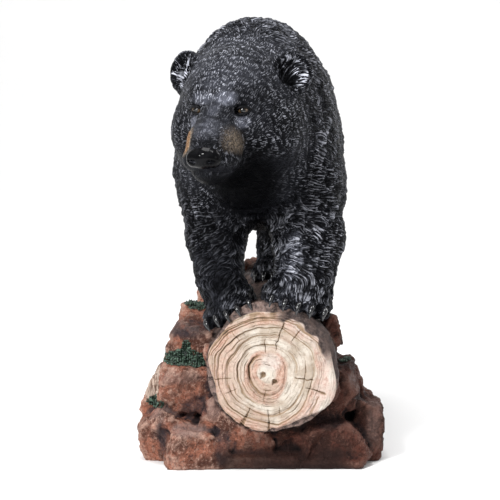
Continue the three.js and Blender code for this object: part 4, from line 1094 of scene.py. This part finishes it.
# depth of the rings and their dark lines, dirt and painted shade: a few stepped ones, the dome and its groove,
# and finer ones in broken arcs
def sawnRings(flat, dx, dz, angle):
    drift = 1.6 * lumps(flat, 17, 42) + 1.0 * lumps(flat, 8, 43) + 0.35 * lumps(flat, 3, 44)
    reach = np.hypot(dx, dz) * (1 + 0.035 * np.cos(3 * angle + 1.0)) + drift
    depth, dirtAndShade, last = np.zeros(len(flat)), np.zeros(len(flat)), 0.0
    for n, (radius, inner) in enumerate(sawn["steps"]):  # each ends in a sharp edge with a dark line at its foot: paint and painted shade
        depth += (inner - last) * (1 - ease(reach, radius - 0.45, radius + 0.35))
        patchy = 0.15 + 0.85 * ease(lumps(circle(angle, 1.6, 7 * n), 1.0, 57), -0.5, 0.3)
        dirtAndShade += 0.7 * patchy * np.exp(-((reach - radius + 0.55) / sawn["line"]) ** 2)
        last = inner
    toLeft = ease(-dx - 0.3 * dz, -4, 8)
    fromDome = reach - sawn["dome"]
    depth += sawn["groove"] * toLeft * (1 - ease(np.abs(fromDome + 1.2), 0.4, 1.6))
    depth -= 1.2 * (1 - ease(fromDome, -2.6, -1.4))
    # painted shadow in the groove, on its left side only
    dirtAndShade += 0.9 * toLeft * np.exp(-((fromDome + 1.6) / 0.9) ** 2)
    for size, seed, cut in sawn["fineRings"]:
        place = reach / size + 0.3 * lumps(flat, 9, seed)
        ring = np.floor(place)
        line = cut * (1 - ease(np.abs(place - ring - 0.5) * 2, 0.0, 0.42)) * ease(reach, 3, 9)
        line *= ease(lumps(circle(angle, 1.9, ring * 3.7), 1.0, seed + 10), -0.25, 0.25)
        depth += line
        dirtAndShade += 0.42 * line
    return reach, depth, dirtAndShade


# the bark: out from the rim, then back along the log
def barkLip(turn, outline, rim, rimY):
    loops = []
    for n in range(sawn["lipLoops"] + 1):
        share = n / sawn["lipLoops"]
        out = ease(n, 0, 5)
        back = rimY * (1 - out) + (log["front"] + 3) * out + 0.4 + ease(share, 0.3, 1.0) * sawn["lip"]
        rough = lumps(np.stack([turn * log["radius"] / 4.5, back * 0.12, 0 * turn + 0.4 * n], 1), 1.0, 56)
        radius = outline + 1.4 - 3.4 * ease(share, 0.72, 1.0) + 0.7 * rough
        radius = (rim + 0.2) * (1 - out) + radius * out
        back = back - 0.8 * rough * out * (1 - ease(share, 0.3, 0.5))
        loop = (log["axisX"] + radius * np.cos(turn), back, log["height"] + radius * np.sin(turn))
        loops.append(np.stack(loop, 1))
    return np.concatenate(loops)


def buildSawnEnd():
    turn = 2 * np.pi * np.arange(sawn["sides"]) / sawn["sides"]
    outline, rim = sawnRim(turn)
    midX, midZ = sawn["middle"]
    t = (np.linspace(0, 1, sawn["loops"]) ** 0.92)[:, None]
    x = midX + (log["axisX"] - midX) * t ** 2 + t * rim * np.cos(turn)
    z = midZ + (log["height"] - midZ) * t ** 2 + t * rim * np.sin(turn)
    flat = np.stack([x.ravel(), z.ravel(), 0 * x.ravel()], 1)
    dx, dz = flat[:, 0] - midX, flat[:, 1] - midZ
    angle = np.arctan2(dz, dx)
    reach, depth, dirtAndShade = sawnRings(flat, dx, dz, angle)
    depth += sawn["flake"] * chips(flat + 1.5 * lumps(flat, 5, 47)[:, None], 7, 48)
    depth += 0.4 * lumps(flat, 5, 49) + 0.2 * lumps(flat, 2, 50)
    wander = 0.9 * lumps(flat, 6, 51) + 0.3 * lumps(flat, 2.5, 52)
    crack = np.zeros(len(flat))
    for degrees, inner, outer, width, deep in sawn["splits"]:
        gash = splitAt(dx, dz, wander, degrees, inner, outer, width)
        crack = np.maximum(crack, gash * (0.75 if width > 3 else 1))
        depth += 0.7 * deep * gash
    for kx, kz, radius in sawn["knots"]:
        away = np.hypot(flat[:, 0] - kx, flat[:, 1] - kz) + 1.0 * lumps(flat, 2.2, 53)
        hole = 1 - ease(away, radius * 0.55, radius * 1.2)
        crack = np.maximum(crack, 0.8 * hole)
        depth += 3.5 * hole
    # darker lines towards the left, and painted shade in the splits and knot holes
    dirtAndShade = dirtAndShade * (1 + 0.6 * ease(-dx, 6, 28)) + 0.8 * crack
    edge = ease(t * np.ones_like(x), 0.955, 1.0).ravel()
    y = log["front"] - sawn["proud"] + np.maximum(depth, -0.4)
    y += 1.6 * edge ** 2 + 1.5 * np.maximum(0, lumps(flat, 4, 55)) * edge
    lip = barkLip(turn, outline, rim, y.reshape(x.shape)[-1])
    points = np.concatenate([np.stack([flat[:, 0], y, flat[:, 1]], 1), lip])
    faces = ringFaces(len(points) // sawn["sides"], sawn["sides"])
    degrees = np.degrees(angle)
    right = ease(degrees, 6, 26) * (1 - ease(degrees, 72, 88))  # the bark folds over the face here
    rimGap = ((1 - t) * rim).ravel() + 1.6 * lumps(flat, 5, 58)
    upper = ease(degrees, 10, 40) * (1 - ease(degrees, 130, 150))
    dirtAndShade += 0.5 * upper * (1 - ease(rimGap, 2, 9)) * ease(lumps(flat, 4, 59), -0.3, 0.4)
    band = lumps(np.stack([reach / 5.0, 0 * reach, 0 * reach], 1), 1.0, 54)
    pink = np.maximum(ease(band + 0.5 * lumps(flat, 12, 60), -0.2, 0.4), 0.75 * ease(-dx, 10, 32))
    white = 0.4 * area(np.stack([dx, dz, 0 * dx], 1), (3, 10, 0), (11, 9, 9))
    white += 0.3 * ease(reach, 37, 43) * ease(dx, 5, 22)
    lipAngle = np.degrees(np.angle(np.exp(1j * np.tile(turn, sawn["lipLoops"] + 1))))
    shade = ease(lipAngle, -25, 5) * (1 - ease(lipAngle, 50, 75))  # darker under the right paw
    none = np.zeros(len(lip))
    paint = {"pink": (pink, none), "white": (white, none), "dirtAndShade": (np.clip(dirtAndShade, 0, 2), none),
             "bark": (right * (1 - ease(rimGap, 4.5, 6.0)), none + 1), "shade": (0.7 * right, shade)}
    newPiece("sawnEnd", points, faces, sawnFinish(), "painted_rock", {
        name: np.concatenate(both) for name, both in paint.items()})


buildSawnEnd()
print("sawn end done")


# moss: small blobs pressed onto the ledges of the rocks
mossBlob = {"count": 1300, "low": 0.45, "high": 1.1, "paints": ((0.004, 0.010, 0.007), (0.10, 0.17, 0.12))}


def mossFinish():
    finish = Finish("mossGreen", Roughness=0.45)
    tone = finish.ramp(finish.noise(1.6, 3.0), 0.42, 0.62)
    finish.set("Base Color", finish.mix(tone, *mossBlob["paints"]))
    finish.bump(finish.noise(0.8, 2.0), 0.3)
    return finish.material


def buildMoss():
    likely = np.nonzero((heapMoss > 0.12) & (heapNormals[:, 1] < 0.5))[0]
    order = likely[np.argsort(chance(likely, 60))][:mossBlob["count"]]
    blobs = []
    for n, v in enumerate(order):
        size = mossBlob["low"] + (mossBlob["high"] - mossBlob["low"]) * float(chance(n, 61))
        turn = facing(360 * float(chance(n, 62)), 120 * float(chance(n, 63)) - 60)
        centre = heapPoints[v] + heapNormals[v] * size * 0.35
        blobs.append(ballMesh(centre, (size, size * 0.75, size * 1.25), turn, 5, 7))
    newPiece("moss", *joined(blobs), mossFinish(), "painted_rock")


buildMoss()
print("moss done")


studio = {  # lamps: place, width and power
    "world": 0.38, "paper": ((0.84, 0.84, 0.84), (0.88, 0.88, 0.88)), "aim": (0, -0.05, 0.17),
    "lamps": {
        "keyLight": ((-0.8, -1.6, 1.7), 0.4, 34), "fillLight": ((1.3, -1.3, 0.9), 1.0, 4),
        "topLight": ((-0.1, -0.1, 1.8), 1.0, 26), "backLight": ((1.1, 1.0, 1.3), 0.7, 8),
        "glint": ((-1.2, -1.6, 1.05), 0.24, 14),
    },
}
camera = {
    "distance": 1650, "azimuth": 4, "elevation": 6, "target": (-17.2, 0, 148.7),
    "focal": 1986, "frame": 500, "sensor": 36,  # the focal length in pixels of a frame 500 wide
}


def buildStudio():
    profile = [(-3.0, 0.0), (1.2, 0.0)]
    for n in range(1, 13):
        a = math.pi / 2 * n / 12
        profile.append((1.2 + 0.8 * math.sin(a), 0.8 * (1 - math.cos(a))))
    profile.append((2.0, 3.5))
    points = np.array([(x, y, z) for y, z in profile for x in (-4.0, 4.0)]) / mm
    faces = np.array([(2 * n, 2 * n + 1, 2 * n + 3, 2 * n + 2) for n in range(len(profile) - 1)])
    paper = Finish("sweepPaper", Roughness=0.9)
    paper.set("Base Color", paper.mix(paper.noise(400, 2.0), *studio["paper"]))
    sweep = newObject("sweep", newMesh("sweep", points, faces, paper.material))

    world = bpy.data.worlds.new("softRoom")
    world.use_nodes = True
    world.node_tree.nodes["Background"].inputs["Color"].default_value = (1, 1, 1, 1)
    world.node_tree.nodes["Background"].inputs["Strength"].default_value = studio["world"]
    bpy.context.scene.world = world
    for name, (place, size, power) in studio["lamps"].items():
        data = bpy.data.lights.new(name, "AREA")
        data.shape, data.size, data.energy = "DISK", size, power
        lamp = newObject(name, data)
        lamp.location = place
        lamp.rotation_euler = (Vector(studio["aim"]) - Vector(place)).to_track_quat("-Z", "Y").to_euler()


def buildCamera():
    a, e = math.radians(camera["azimuth"]), math.radians(camera["elevation"])
    back = Vector((math.sin(a) * math.cos(e), -math.cos(a) * math.cos(e), math.sin(e)))
    data = bpy.data.cameras.new("camera")
    data.sensor_width = camera["sensor"]
    data.lens = camera["focal"] / camera["frame"] * camera["sensor"]
    data.clip_start, data.clip_end = 0.05, 30
    item = newObject("camera", data)
    item.location = (Vector(camera["target"]) + back * camera["distance"]) * mm
    item.rotation_euler = (-back).to_track_quat("-Z", "Y").to_euler()
    bpy.context.scene.camera = item


buildStudio()
buildCamera()
bpy.context.scene.view_settings.view_transform = "Standard"
print("studio done")
